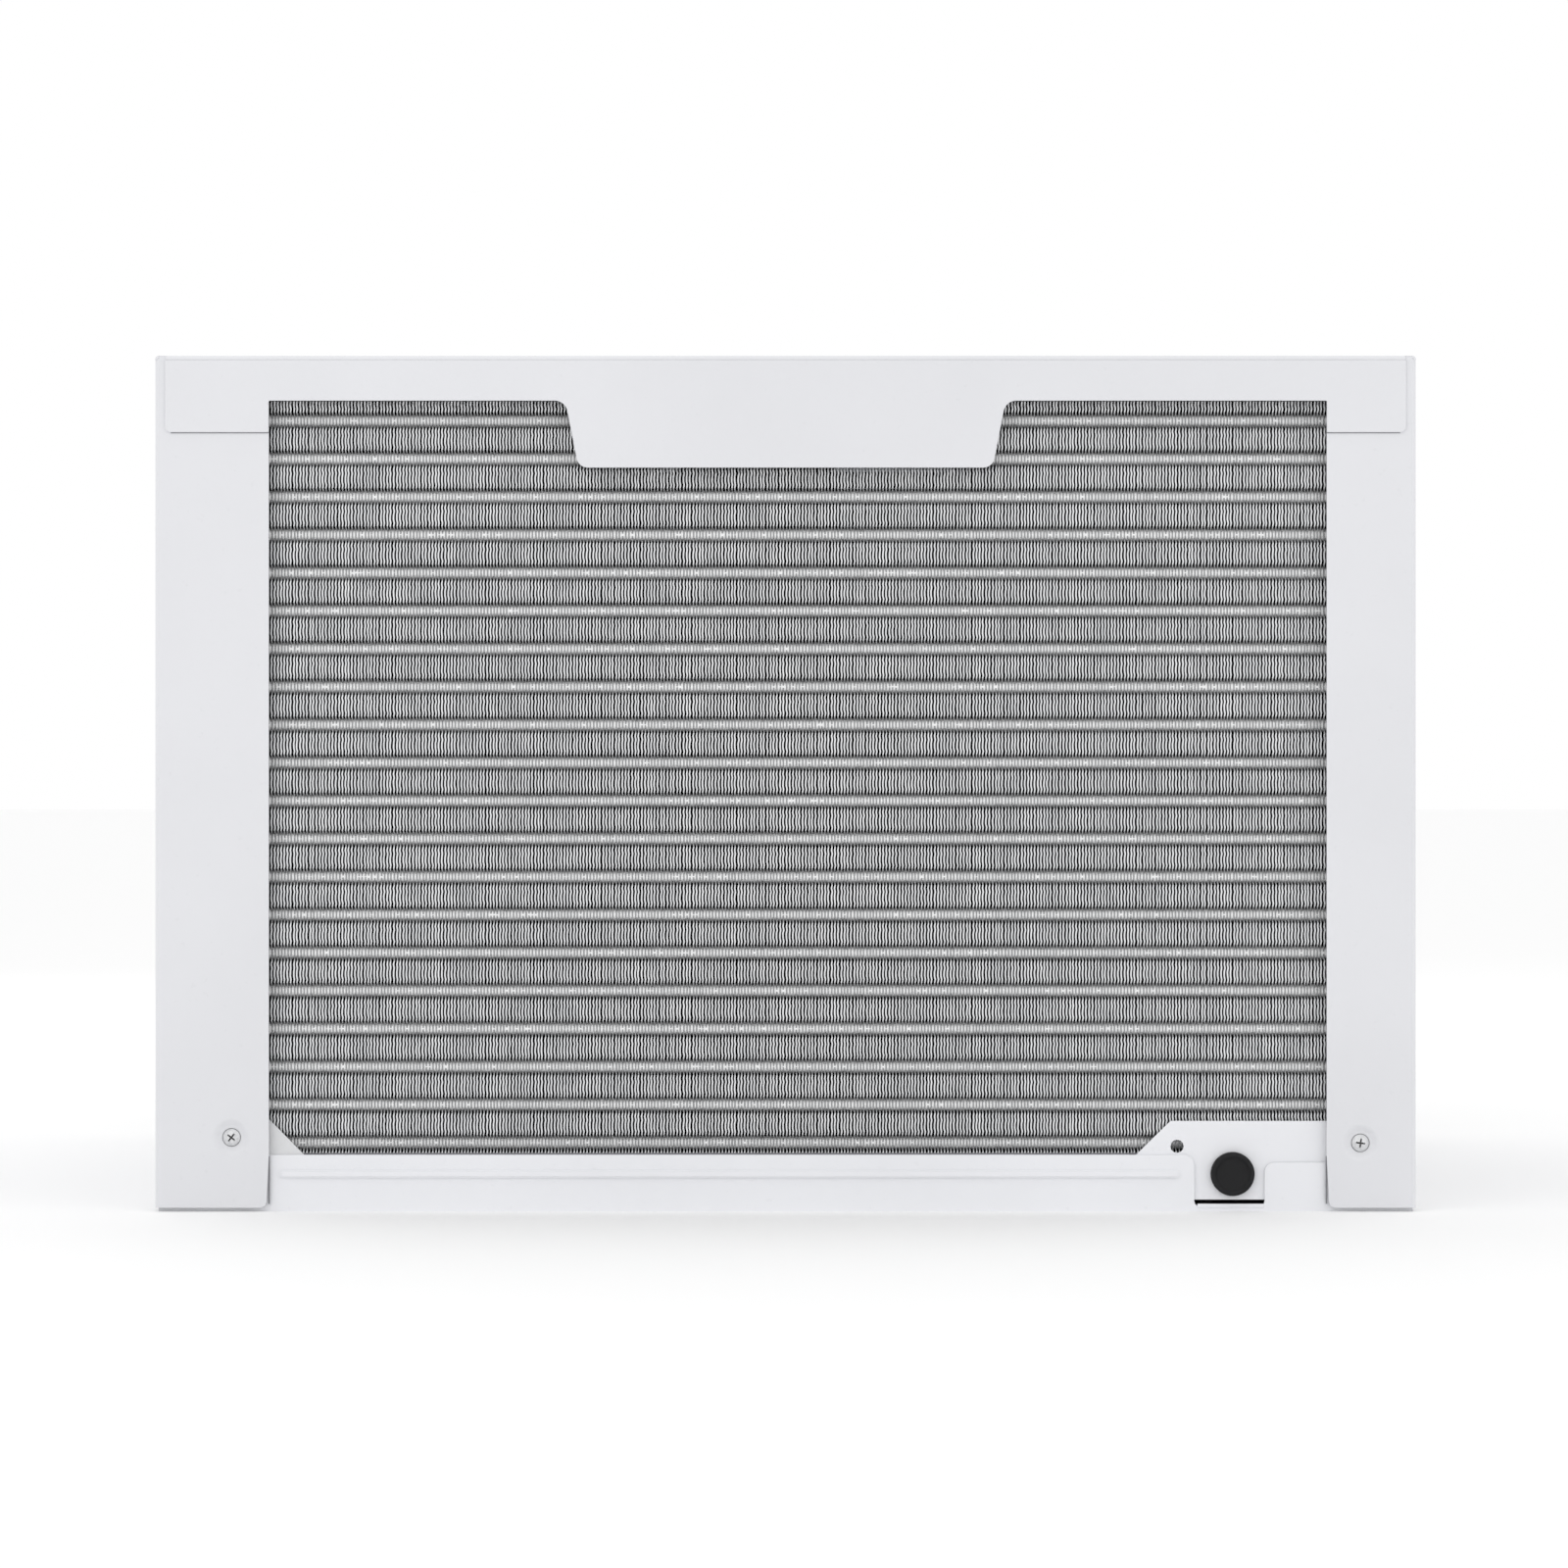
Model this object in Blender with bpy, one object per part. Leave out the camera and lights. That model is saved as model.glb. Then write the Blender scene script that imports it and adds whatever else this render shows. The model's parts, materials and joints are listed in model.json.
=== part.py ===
"""Window air conditioner: slide-in chassis, wrap-round sheet cabinet and plastic room-side front.

The room side faces -Y, the outdoor coil faces +Y and the unit stands on its base pan at Z = 0.
Every named object is one physical piece. Lengths are written in millimetres and scaled once.
"""
import bmesh
import bpy
from math import cos, pi, radians, sin
from mathutils import Matrix, Vector

MM = 0.001
GAP = 0.4

# Overall size
HALF_WIDTH = 330.0
HALF_DEPTH = 338.0
HEIGHT = 448.0
SHEET = 1.2

# Cabinet wrapper and its rear flanges
CASE_FRONT = -270.0
SIDE_BOTTOM = 2.0
SIDE_FLANGE_FACE = HALF_DEPTH - SHEET
OPENING_LEFT = -283.2
OPENING_RIGHT = 270.4
OPENING_TOP = 423.6
TAB_INSET = 5.3
TAB_DEPTH = 40.2
BADGE_DEPTH = 58.7
SIDE_SLOT_COUNT = 12
SIDE_SLOT_PITCH = 27.0
SIDE_SLOT_BOTTOM = 70.0
SIDE_SLOT_Y = (-40.0, 205.0)
TOP_SLOT_COUNT = 9
TOP_SLOT_PITCH = 26.0
TOP_SLOT_X = (-200.0, 200.0)
SCREWS = {"rear_screw_left": (-300.9, 35.9), "rear_screw_right": (290.0, 38.8)}
DIMPLE_RADIUS = 9.7
DIMPLE_DEPTH = 1.5

# Base pan
PAN_HALF = HALF_WIDTH - SHEET - GAP
PAN_FRONT = -268.0
PAN_REAR = 333.6
PAN_SIDE = 34.0
PAN_WALL = 29.5
PAN_WALL_LOW = 25.5
NOTCH = (-251.0, -214.1)
BEAD_X = (-204.3, 262.7)
BEAD_Z = 19.6

# Drain
PLUG = (-234.2, 19.5)
PLUG_RADIUS = 11.5
STEM_RADIUS = 7.5
BRACKET_FACE = PAN_REAR - SHEET - 0.3

# Outdoor coil
TUBE_PITCH = 19.93
TUBE_RADIUS = 3.5
TUBE_SIDES = 6
TUBE_HOLE = 4.2
COND_X = (-287.0, 274.0)
COND_Y = (292.5, 328.5)
COND_Z = (26.2, 424.6)
COND_ROWS = (301.5, 319.5)
COND_FIRST_TUBE = 37.2
COND_TUBES = 20
FIN_GROOVE = 4.4

# Indoor coil
EVAP_X = (-250.0, 236.0)
EVAP_Y = (-264.0, -228.0)
EVAP_Z = (36.0, 316.0)
EVAP_ROWS = (-255.0, -237.0)
EVAP_FIRST_TUBE = 46.0
EVAP_TUBES = 14

# Air moving parts, all on one shaft along Y
AXIS_X = -30.0
AXIS_Z = 224.0
SHAFT_RADIUS = 6.0
FAN_RADIUS = 188.0
FAN_Y = (214.0, 250.0)
FAN_BLADES = 5
SHROUD_HOLE = 197.0
WHEEL_RADIUS = 104.0
WHEEL_Y = (-194.0, -96.0)
WHEEL_BLADES = 28
MOTOR_RADIUS = 64.0
MOTOR_Y = (20.0, 124.0)

# Compressor
COMP = (228.0, 90.0)
COMP_RADIUS = 62.0
COMP_FEET = ((156.0, 48.0), (300.0, 48.0), (228.0, 176.0))

# Room-side front
FACE = -333.0
WALL = 3.0
BEZEL_Z = (1.0, 447.0)
OUTLET_X = (-312.0, 130.0)
OUTLET_Z = (334.0, 430.0)
PANEL_X = (147.0, 313.0)
PANEL_Z = (335.0, 429.0)
INTAKE_X = 316.0
INTAKE_Z = (16.0, 322.0)
GRILLE_SLOTS = 17
GRILLE_PITCH = 16.0
HINGE_Y = -334.0
HINGE_Z = 21.0
LOUVER_Z = (350.0, 382.0, 414.0)
LOUVER_Y = -321.0
LOUVER_CHORD = 24.0
VANE_X = (-259.0, -175.0, -91.0, -7.0, 77.0)
VANE_Y = -290.0
LINK_Y = -276.0
FILTER_Y = (-292.0, -287.0)
FILTER_Z = (26.0, 314.0)
VENT_X = (60.0, 112.0)
VENT_Z = (352.0, 404.0)
DISPLAY_X = (162.0, 232.0)
DISPLAY_Z = (388.0, 418.0)
BUTTONS = {
    "button_power": (282.0, 403.0, 11.0, 11.0),
    "button_mode": (170.0, 356.0, 13.0, 7.0),
    "button_fan": (206.0, 356.0, 13.0, 7.0),
    "button_down": (246.0, 356.0, 10.0, 8.0),
    "button_up": (286.0, 356.0, 10.0, 8.0),
}

# Colours: base colour, roughness, metallic
FINISH = {
    "case_paint": ((0.79, 0.80, 0.82, 1.0), 0.38, 0.0),
    "pan_paint": ((0.77, 0.78, 0.80, 1.0), 0.42, 0.0),
    "galvanised": ((0.62, 0.64, 0.66, 1.0), 0.45, 1.0),
    "screw_steel": ((0.72, 0.73, 0.75, 1.0), 0.30, 1.0),
    "fin_aluminium": ((0.78, 0.79, 0.80, 1.0), 0.35, 1.0),
    "copper": ((0.78, 0.42, 0.26, 1.0), 0.32, 1.0),
    "black_rubber": ((0.035, 0.035, 0.038, 1.0), 0.75, 0.0),
    "black_enamel": ((0.03, 0.03, 0.033, 1.0), 0.35, 0.0),
    "front_plastic": ((0.80, 0.81, 0.81, 1.0), 0.45, 0.0),
    "grey_plastic": ((0.42, 0.43, 0.45, 1.0), 0.50, 0.0),
    "black_plastic": ((0.04, 0.04, 0.045, 1.0), 0.45, 0.0),
    "white_foam": ((0.86, 0.86, 0.84, 1.0), 0.85, 0.0),
    "filter_mesh": ((0.20, 0.24, 0.30, 1.0), 0.70, 0.0),
    "board_green": ((0.05, 0.22, 0.10, 1.0), 0.45, 0.0),
    "smoked_window": ((0.02, 0.02, 0.025, 1.0), 0.10, 0.0),
}

for leftover in list(bpy.data.objects):
    bpy.data.objects.remove(leftover, do_unlink=True)


def finish(name):
    """The material of one finish, made once."""
    found = bpy.data.materials.get(name)
    if found:
        return found
    colour, rough, metal = FINISH[name]
    material = bpy.data.materials.new(name)
    material.use_nodes = True
    shader = material.node_tree.nodes["Principled BSDF"]
    shader.inputs["Base Color"].default_value = colour
    shader.inputs["Roughness"].default_value = rough
    shader.inputs["Metallic"].default_value = metal
    material.diffuse_color = colour
    return material


def solid(name, bm, coat, origin=(0.0, 0.0, 0.0)):
    """A named object from a mesh in millimetres, with its origin at a point in millimetres."""
    bmesh.ops.recalc_face_normals(bm, faces=bm.faces)
    shift = Vector(origin)
    for vert in bm.verts:
        vert.co = (vert.co - shift) * MM
    mesh = bpy.data.meshes.new(name)
    bm.to_mesh(mesh)
    bm.free()
    part = bpy.data.objects.new(name, mesh)
    part.location = shift * MM
    mesh.materials.append(finish(coat))
    bpy.context.scene.collection.objects.link(part)
    return part


def add_box(bm, xs, ys, zs):
    """One closed box between the given limits."""
    corners = [bm.verts.new((x, y, z)) for x in xs for y in ys for z in zs]
    for face in ((0, 1, 3, 2), (4, 6, 7, 5), (0, 4, 5, 1), (2, 3, 7, 6), (0, 2, 6, 4), (1, 5, 7, 3)):
        bm.faces.new([corners[i] for i in face])


def box(xs, ys, zs):
    bm = bmesh.new()
    add_box(bm, xs, ys, zs)
    return bm


def add_prism(bm, outline, axis, low, high):
    """A closed prism: an outline in the two axes other than axis, taken in X, Y, Z order."""
    def place(a, b, c):
        if axis == "X":
            return (c, a, b)
        if axis == "Y":
            return (a, c, b)
        return (a, b, c)

    lower = [bm.verts.new(place(a, b, low)) for a, b in outline]
    upper = [bm.verts.new(place(a, b, high)) for a, b in outline]
    count = len(outline)
    bm.faces.new(lower)
    bm.faces.new(upper[::-1])
    for i in range(count):
        j = (i + 1) % count
        bm.faces.new((lower[i], upper[i], upper[j], lower[j]))


def prism(outline, axis, low, high):
    bm = bmesh.new()
    add_prism(bm, outline, axis, low, high)
    return bm


def circle(centre, radius, sides, start=0.0):
    """Points of a regular polygon in two axes."""
    return [
        (
            centre[0] + radius * cos(start + 2 * pi * i / sides),
            centre[1] + radius * sin(start + 2 * pi * i / sides),
        )
        for i in range(sides)
    ]


def arc(centre, radius, first, last, steps):
    """Points along an arc, with both ends, in degrees."""
    return [
        (
            centre[0] + radius * cos(radians(first + (last - first) * i / steps)),
            centre[1] + radius * sin(radians(first + (last - first) * i / steps)),
        )
        for i in range(steps + 1)
    ]


def add_revolved(bm, profile, axis, centre, steps):
    """A closed turned solid. profile holds (radius, height along axis); radius 0 is one point."""
    rings = []
    for radius, along in profile:
        count = 1 if radius == 0 else steps
        ring = []
        for i in range(count):
            turn = 2 * pi * i / steps
            a = centre[0] + radius * cos(turn)
            b = centre[1] + radius * sin(turn)
            spot = (a, b, along) if axis == "Z" else (a, along, b)
            ring.append(bm.verts.new(spot))
        rings.append(ring)
    closed = profile[0][0] != 0
    pairs = list(zip(rings, rings[1:]))
    if closed:
        pairs.append((rings[-1], rings[0]))
    for first, second in pairs:
        for i in range(steps):
            j = (i + 1) % steps
            if len(first) == 1:
                bm.faces.new((first[0], second[i], second[j]))
            elif len(second) == 1:
                bm.faces.new((first[i], first[j], second[0]))
            else:
                bm.faces.new((first[i], first[j], second[j], second[i]))


def revolved(profile, axis, centre, steps):
    bm = bmesh.new()
    add_revolved(bm, profile, axis, centre, steps)
    return bm


def add_pipe(bm, path, radius, sides, up=(0.0, 1.0, 0.0)):
    """A closed pipe-shaped bar along a path of points, with mitred joints."""
    points = [Vector(p) for p in path]
    side = Vector(up)
    rings = []
    for i, point in enumerate(points):
        before = (point - points[i - 1]).normalized() if i else None
        after = (points[i + 1] - point).normalized() if i + 1 < len(points) else None
        if before is None:
            tangent = after
        elif after is None:
            tangent = before
        else:
            tangent = (before + after).normalized()
        heading = before or after
        side = side - heading * side.dot(heading)
        if side.length < 1e-6:
            side = heading.orthogonal()
        side.normalize()
        other = heading.cross(side)
        ring = []
        for k in range(sides):
            turn = 2 * pi * k / sides
            rim = side * (radius * cos(turn)) + other * (radius * sin(turn))
            rim = rim - heading * (rim.dot(tangent) / heading.dot(tangent))
            ring.append(bm.verts.new(point + rim))
        rings.append(ring)
        if after is not None:
            side = side - after * side.dot(after)
            if side.length < 1e-6:
                side = after.orthogonal()
    for first, second in zip(rings, rings[1:]):
        for k in range(sides):
            n = (k + 1) % sides
            bm.faces.new((first[k], first[n], second[n], second[k]))
    bm.faces.new(rings[0][::-1])
    bm.faces.new(rings[-1])


def pipe(path, radius, sides, up=(0.0, 1.0, 0.0)):
    bm = bmesh.new()
    add_pipe(bm, path, radius, sides, up)
    return bm


def combine(part, tool_mesh, operation):
    """Cuts a closed mesh out of a part, or joins it on, and keeps the result as the part's mesh."""
    tool = solid("tool", tool_mesh, "galvanised")
    step = part.modifiers.new("step", "BOOLEAN")
    step.operation = operation
    step.solver = "EXACT"
    step.object = tool
    bpy.context.view_layer.update()
    graph = bpy.context.evaluated_depsgraph_get()
    result = bpy.data.meshes.new_from_object(part.evaluated_get(graph))
    part.modifiers.remove(step)
    old = part.data
    coats = [m for m in old.materials]
    part.data = result
    result.materials.clear()
    for coat in coats:
        result.materials.append(coat)
    result.polygons.foreach_set("material_index", [0] * len(result.polygons))
    bpy.data.objects.remove(tool, do_unlink=True)
    tidy = bmesh.new()
    tidy.from_mesh(result)
    bmesh.ops.remove_doubles(tidy, verts=tidy.verts, dist=1e-7)
    bmesh.ops.dissolve_limit(
        tidy, angle_limit=radians(0.05), verts=tidy.verts, edges=tidy.edges, delimit=set()
    )
    tidy.to_mesh(result)
    tidy.free()
    return part


def cut(part, tool_mesh):
    return combine(part, tool_mesh, "DIFFERENCE")


def join(part, tool_mesh):
    return combine(part, tool_mesh, "UNION")


# ---------------------------------------------------------------- base pan and outdoor case

def make_base_pan():
    pan = solid("base_pan", box((-PAN_HALF, PAN_HALF), (PAN_FRONT, PAN_REAR), (0.0, PAN_SIDE)), "pan_paint")
    cut(pan, box((-PAN_HALF + SHEET, PAN_HALF - SHEET), (PAN_FRONT + SHEET, PAN_REAR - SHEET), (SHEET, 90.0)))
    rear = (PAN_REAR - 6.0, PAN_REAR + 6.0)
    notch_left, notch_right = NOTCH
    cut(pan, box((notch_right, OPENING_RIGHT + 3.0), (PAN_REAR - SHEET - 0.2, PAN_REAR + 6.0), (PAN_WALL, 90.0)))
    cut(pan, box((OPENING_LEFT - 3.0, notch_left), (PAN_REAR - SHEET - 0.2, PAN_REAR + 6.0), (PAN_WALL_LOW, 90.0)))
    gap = [(notch_left - 5.0, 90.0)] + arc((notch_left - 5.0, PAN_WALL_LOW - 5.0), 5.0, 90, 0, 4)
    gap += arc((notch_left + 3.0, 5.4), 3.0, 180, 270, 3) + arc((notch_right - 3.0, 5.4), 3.0, 270, 360, 3)
    gap += arc((notch_right + 5.0, PAN_WALL - 5.0), 5.0, 180, 90, 4) + [(notch_right + 5.0, 90.0)]
    cut(pan, prism(gap, "Y", PAN_REAR - SHEET - 0.2, PAN_REAR + 6.0))
    join(pan, box((-180.0, 241.0), (PAN_REAR - 2.6, PAN_REAR - 0.6), (PAN_WALL - 2.4, PAN_WALL)))
    for rise, half in ((0.9, 2.2), (1.6, 1.3)):
        bead = arc((BEAD_X[1], BEAD_Z), half, -90, 90, 6) + arc((BEAD_X[0], BEAD_Z), half, 90, 270, 6)
        join(pan, prism(bead, "Y", PAN_REAR - 0.5, PAN_REAR + rise))
    for x, z in SCREWS.values():
        side = 1.0 if x > 0 else -1.0
        near = x - side * 14.0
        ear = ((near, PAN_SIDE - 1.0), (side * PAN_HALF, PAN_SIDE - 1.0), (side * PAN_HALF, 54.0), (near, 54.0))
        join(pan, prism(ear, "Y", PAN_REAR - SHEET, PAN_REAR))
        cut(pan, prism(circle((x, z), 2.4, 12), "Y", *rear))
    for x, y in COMP_FEET:
        join(pan, revolved(((0, 0.6), (13, 0.6), (11, 6.0), (0, 6.0)), "Z", (x, y), 12))
    for y in (-205.0, 265.0):
        join(pan, box((-150.0, 130.0), (y - 8.0, y + 8.0), (0.6, 4.0)))
    return pan


def make_cabinet():
    case = solid(
        "cabinet",
        box((-HALF_WIDTH, HALF_WIDTH), (CASE_FRONT, SIDE_FLANGE_FACE), (SIDE_BOTTOM, HEIGHT)),
        "case_paint",
    )
    inner = HALF_WIDTH - SHEET
    cut(case, box((-inner, inner), (CASE_FRONT - 9.0, SIDE_FLANGE_FACE - SHEET), (-9.0, HEIGHT - SHEET)))
    opening = (
        (OPENING_LEFT, OPENING_TOP),
        (OPENING_LEFT, 30.0),
        (OPENING_LEFT - 1.5, 5.0),
        (OPENING_LEFT - 4.0, 2.0),
        (OPENING_LEFT - 4.0, -9.0),
        (OPENING_RIGHT + 4.0, -9.0),
        (OPENING_RIGHT + 4.0, 2.0),
        (OPENING_RIGHT + 1.5, 5.0),
        (OPENING_RIGHT, 30.0),
        (OPENING_RIGHT, OPENING_TOP),
    )
    cut(case, prism(opening, "Y", SIDE_FLANGE_FACE - SHEET - 4.0, SIDE_FLANGE_FACE + 4.0))
    edge = HALF_WIDTH - TAB_INSET
    tab_low = HEIGHT - TAB_DEPTH
    badge_low = HEIGHT - BADGE_DEPTH
    flange = [
        (-edge + 4.0, HEIGHT),
        (-edge, HEIGHT - 5.5),
        (-edge, tab_low + 3.0),
        (-edge + 0.9, tab_low + 0.9),
        (-edge + 3.0, tab_low),
        (OPENING_LEFT, tab_low),
        (OPENING_LEFT, OPENING_TOP),
    ]
    half = [(-131.0, 423.6), (-126.5, 423.0), (-122.8, 421.2), (-119.8, 418.2), (-117.8, 414.4), (-110.0, 397.0)]
    half += [(-108.2, 393.8), (-105.6, 391.2), (-102.4, badge_low + 0.6), (-99.0, badge_low)]
    flange += half + [(-x, z) for x, z in half[::-1]]
    flange += [
        (OPENING_RIGHT, OPENING_TOP),
        (OPENING_RIGHT, tab_low),
        (edge - 3.0, tab_low),
        (edge - 0.9, tab_low + 0.9),
        (edge, tab_low + 3.0),
        (edge, HEIGHT - 5.5),
        (edge - 4.0, HEIGHT),
    ]
    join(case, prism(flange, "Y", SIDE_FLANGE_FACE - 0.5, HALF_DEPTH))
    for x, z in SCREWS.values():
        cut(case, prism(circle((x, z), DIMPLE_RADIUS, 24), "Y", 330.0, 345.0))
        face = SIDE_FLANGE_FACE
        dish = (
            (2.4, face - DIMPLE_DEPTH),
            (6.0, face - DIMPLE_DEPTH),
            (DIMPLE_RADIUS + 0.4, face),
            (DIMPLE_RADIUS + 0.4, face - SHEET),
            (6.4, face - DIMPLE_DEPTH - SHEET),
            (2.4, face - DIMPLE_DEPTH - SHEET),
        )
        join(case, revolved(dish, "Y", (x, z), 24))
    slots = bmesh.new()
    for i in range(SIDE_SLOT_COUNT):
        z = SIDE_SLOT_BOTTOM + i * SIDE_SLOT_PITCH
        for x in (-HALF_WIDTH, HALF_WIDTH):
            add_box(slots, (x - 4.0, x + 4.0), SIDE_SLOT_Y, (z, z + 8.0))
    for i in range(TOP_SLOT_COUNT):
        y = i * TOP_SLOT_PITCH - 30.0
        add_box(slots, TOP_SLOT_X, (y, y + 8.0), (HEIGHT - 4.0, HEIGHT + 4.0))
    cut(case, slots)
    return case


def make_rear_details():
    for name, (x, z) in SCREWS.items():
        seat = SIDE_FLANGE_FACE - DIMPLE_DEPTH + 0.05
        shape = (
            (0, seat + 2.5),
            (2.6, seat + 2.2),
            (4.4, seat + 1.1),
            (4.8, seat),
            (1.95, seat),
            (1.95, 328.0),
            (0, 326.5),
        )
        screw = solid(name, revolved(shape, "Y", (x, z), 20), "screw_steel")
        cross = box((x - 2.5, x + 2.5), (seat + 1.1, seat + 9.0), (z - 0.5, z + 0.5))
        cut(screw, cross)
        cut(screw, box((x - 0.5, x + 0.5), (seat + 1.1, seat + 9.0), (z - 2.5, z + 2.5)))
    plate = ((-201.8, 47.2), (-182.5, 28.2), (-182.5, 22.0), (-206.0, 6.0), (-260.0, 6.0), (-296.0, 12.0), (-296.0, 47.2))
    bracket = solid("drain_bracket", prism(plate, "Y", BRACKET_FACE - SHEET, BRACKET_FACE), "pan_paint")
    cut(bracket, prism(circle(PLUG, STEM_RADIUS + 0.4, 16), "Y", 320.0, 340.0))
    cut(bracket, prism(circle((-205.2, 33.9), 3.5, 12), "Y", 320.0, 340.0))
    face = BRACKET_FACE + 0.3
    cap = (
        (0, face + 3.0),
        (PLUG_RADIUS - 2.4, face + 3.0),
        (PLUG_RADIUS - 1.6, face + 4.2),
        (PLUG_RADIUS - 0.5, face + 4.0),
        (PLUG_RADIUS, face + 3.2),
        (PLUG_RADIUS, face),
        (STEM_RADIUS, face),
        (STEM_RADIUS - 0.6, face - 2.6),
        (0, face - 2.6),
    )
    solid("drain_plug", revolved(cap, "Y", PLUG, 32), "black_rubber", (PLUG[0], face, PLUG[1]))
    corner = ((282.0, 20.0), (243.0, 20.0), (282.0, 59.5))
    solid("corner_gusset", prism(corner, "Y", BRACKET_FACE - SHEET, BRACKET_FACE), "galvanised")


# ---------------------------------------------------------------- coils

def hairpins(starts, first_x, last_x, reach):
    """A path through parallel runs, each (y, z) in turn, with three-part bends at the ends."""
    path = []
    ends = (first_x, last_x)
    for i, (y, z) in enumerate(starts):
        near, far = ends if i % 2 == 0 else ends[::-1]
        outward = 1.0 if far > near else -1.0
        path.append((near, y, z))
        path.append((far, y, z))
        if i + 1 < len(starts):
            ny, nz = starts[i + 1]
            for share in (0.25, 0.75):
                path.append((far + outward * reach, y + (ny - y) * share, z + (nz - z) * share))
    return path


def coil_block(name, xs, ys, zs, holes, grooved, pitch):
    """A stack of upright fins, drawn as one block with upright grooves on its open face."""
    low, high = ys
    outline = []
    count = int((xs[1] - xs[0] - 12.0) / pitch)
    start = (xs[0] + xs[1]) / 2 - count * pitch / 2
    face = high if grooved > 0 else low
    depth = face - grooved * FIN_GROOVE
    back = low if grooved > 0 else high
    outline.append((xs[0], back))
    outline.append((xs[0], face))
    for i in range(count + 1):
        x = start + i * pitch
        outline += [(x - 1.2, face), (x - 1.2, depth), (x + 1.2, depth), (x + 1.2, face)]
    outline.append((xs[1], face))
    outline.append((xs[1], back))
    block = solid(name, prism(outline, "Z", *zs), "fin_aluminium")
    drill = bmesh.new()
    for y, z in holes:
        add_prism(drill, circle((y, z), TUBE_HOLE, TUBE_SIDES), "X", xs[0] - 5.0, xs[1] + 5.0)
    return cut(block, drill)


def end_plate(name, x, ys, zs, window):
    """A coil side plate with one long window for the row of bends."""
    plate = solid(name, box((x, x + 1.5), ys, zs), "galvanised")
    (wy0, wy1), (wz0, wz1) = window
    return cut(plate, box((x - 5.0, x + 6.0), (wy0, wy1), (wz0, wz1)))


def make_coils():
    back = [(COND_ROWS[0], COND_FIRST_TUBE + TUBE_PITCH * (i + 0.5)) for i in range(COND_TUBES - 1)]
    front = [(COND_ROWS[1], COND_FIRST_TUBE + TUBE_PITCH * i) for i in range(COND_TUBES)]
    runs = back[::-1] + front
    coil_block("condenser_fins", COND_X, COND_Y, COND_Z, runs, 1, 11.0)
    left, right = COND_X[0] - 6.0, COND_X[1] + 6.0
    solid("condenser_tubes", pipe(hairpins(runs, right, left, 8.0), TUBE_RADIUS, TUBE_SIDES), "copper")
    window = ((COND_Y[0] + 2.5, COND_Y[1] - 2.5), (30.0, 420.0))
    end_plate("condenser_end_plate_left", COND_X[0] - 2.0, COND_Y, COND_Z, window)
    end_plate("condenser_end_plate_right", COND_X[1] + 0.5, COND_Y, COND_Z, window)
    outer = [(EVAP_ROWS[0], EVAP_FIRST_TUBE + TUBE_PITCH * i) for i in range(EVAP_TUBES)]
    inner = [(EVAP_ROWS[1], EVAP_FIRST_TUBE + TUBE_PITCH * (i + 0.5)) for i in range(EVAP_TUBES - 1)]
    runs = outer + inner[::-1]
    coil_block("evaporator_fins", EVAP_X, EVAP_Y, EVAP_Z, runs, -1, 16.0)
    left, right = EVAP_X[0] - 6.0, EVAP_X[1] + 6.0
    solid("evaporator_tubes", pipe(hairpins(runs, left, right, 8.0), TUBE_RADIUS, TUBE_SIDES), "copper")
    tray = solid("drip_tray", box((-292.0, 276.0), (-266.5, -206.0), (5.0, 32.0)), "white_foam")
    cut(tray, box((-288.0, 272.0), (-262.5, -210.0), (9.0, 60.0)))


# ---------------------------------------------------------------- air system

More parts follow.
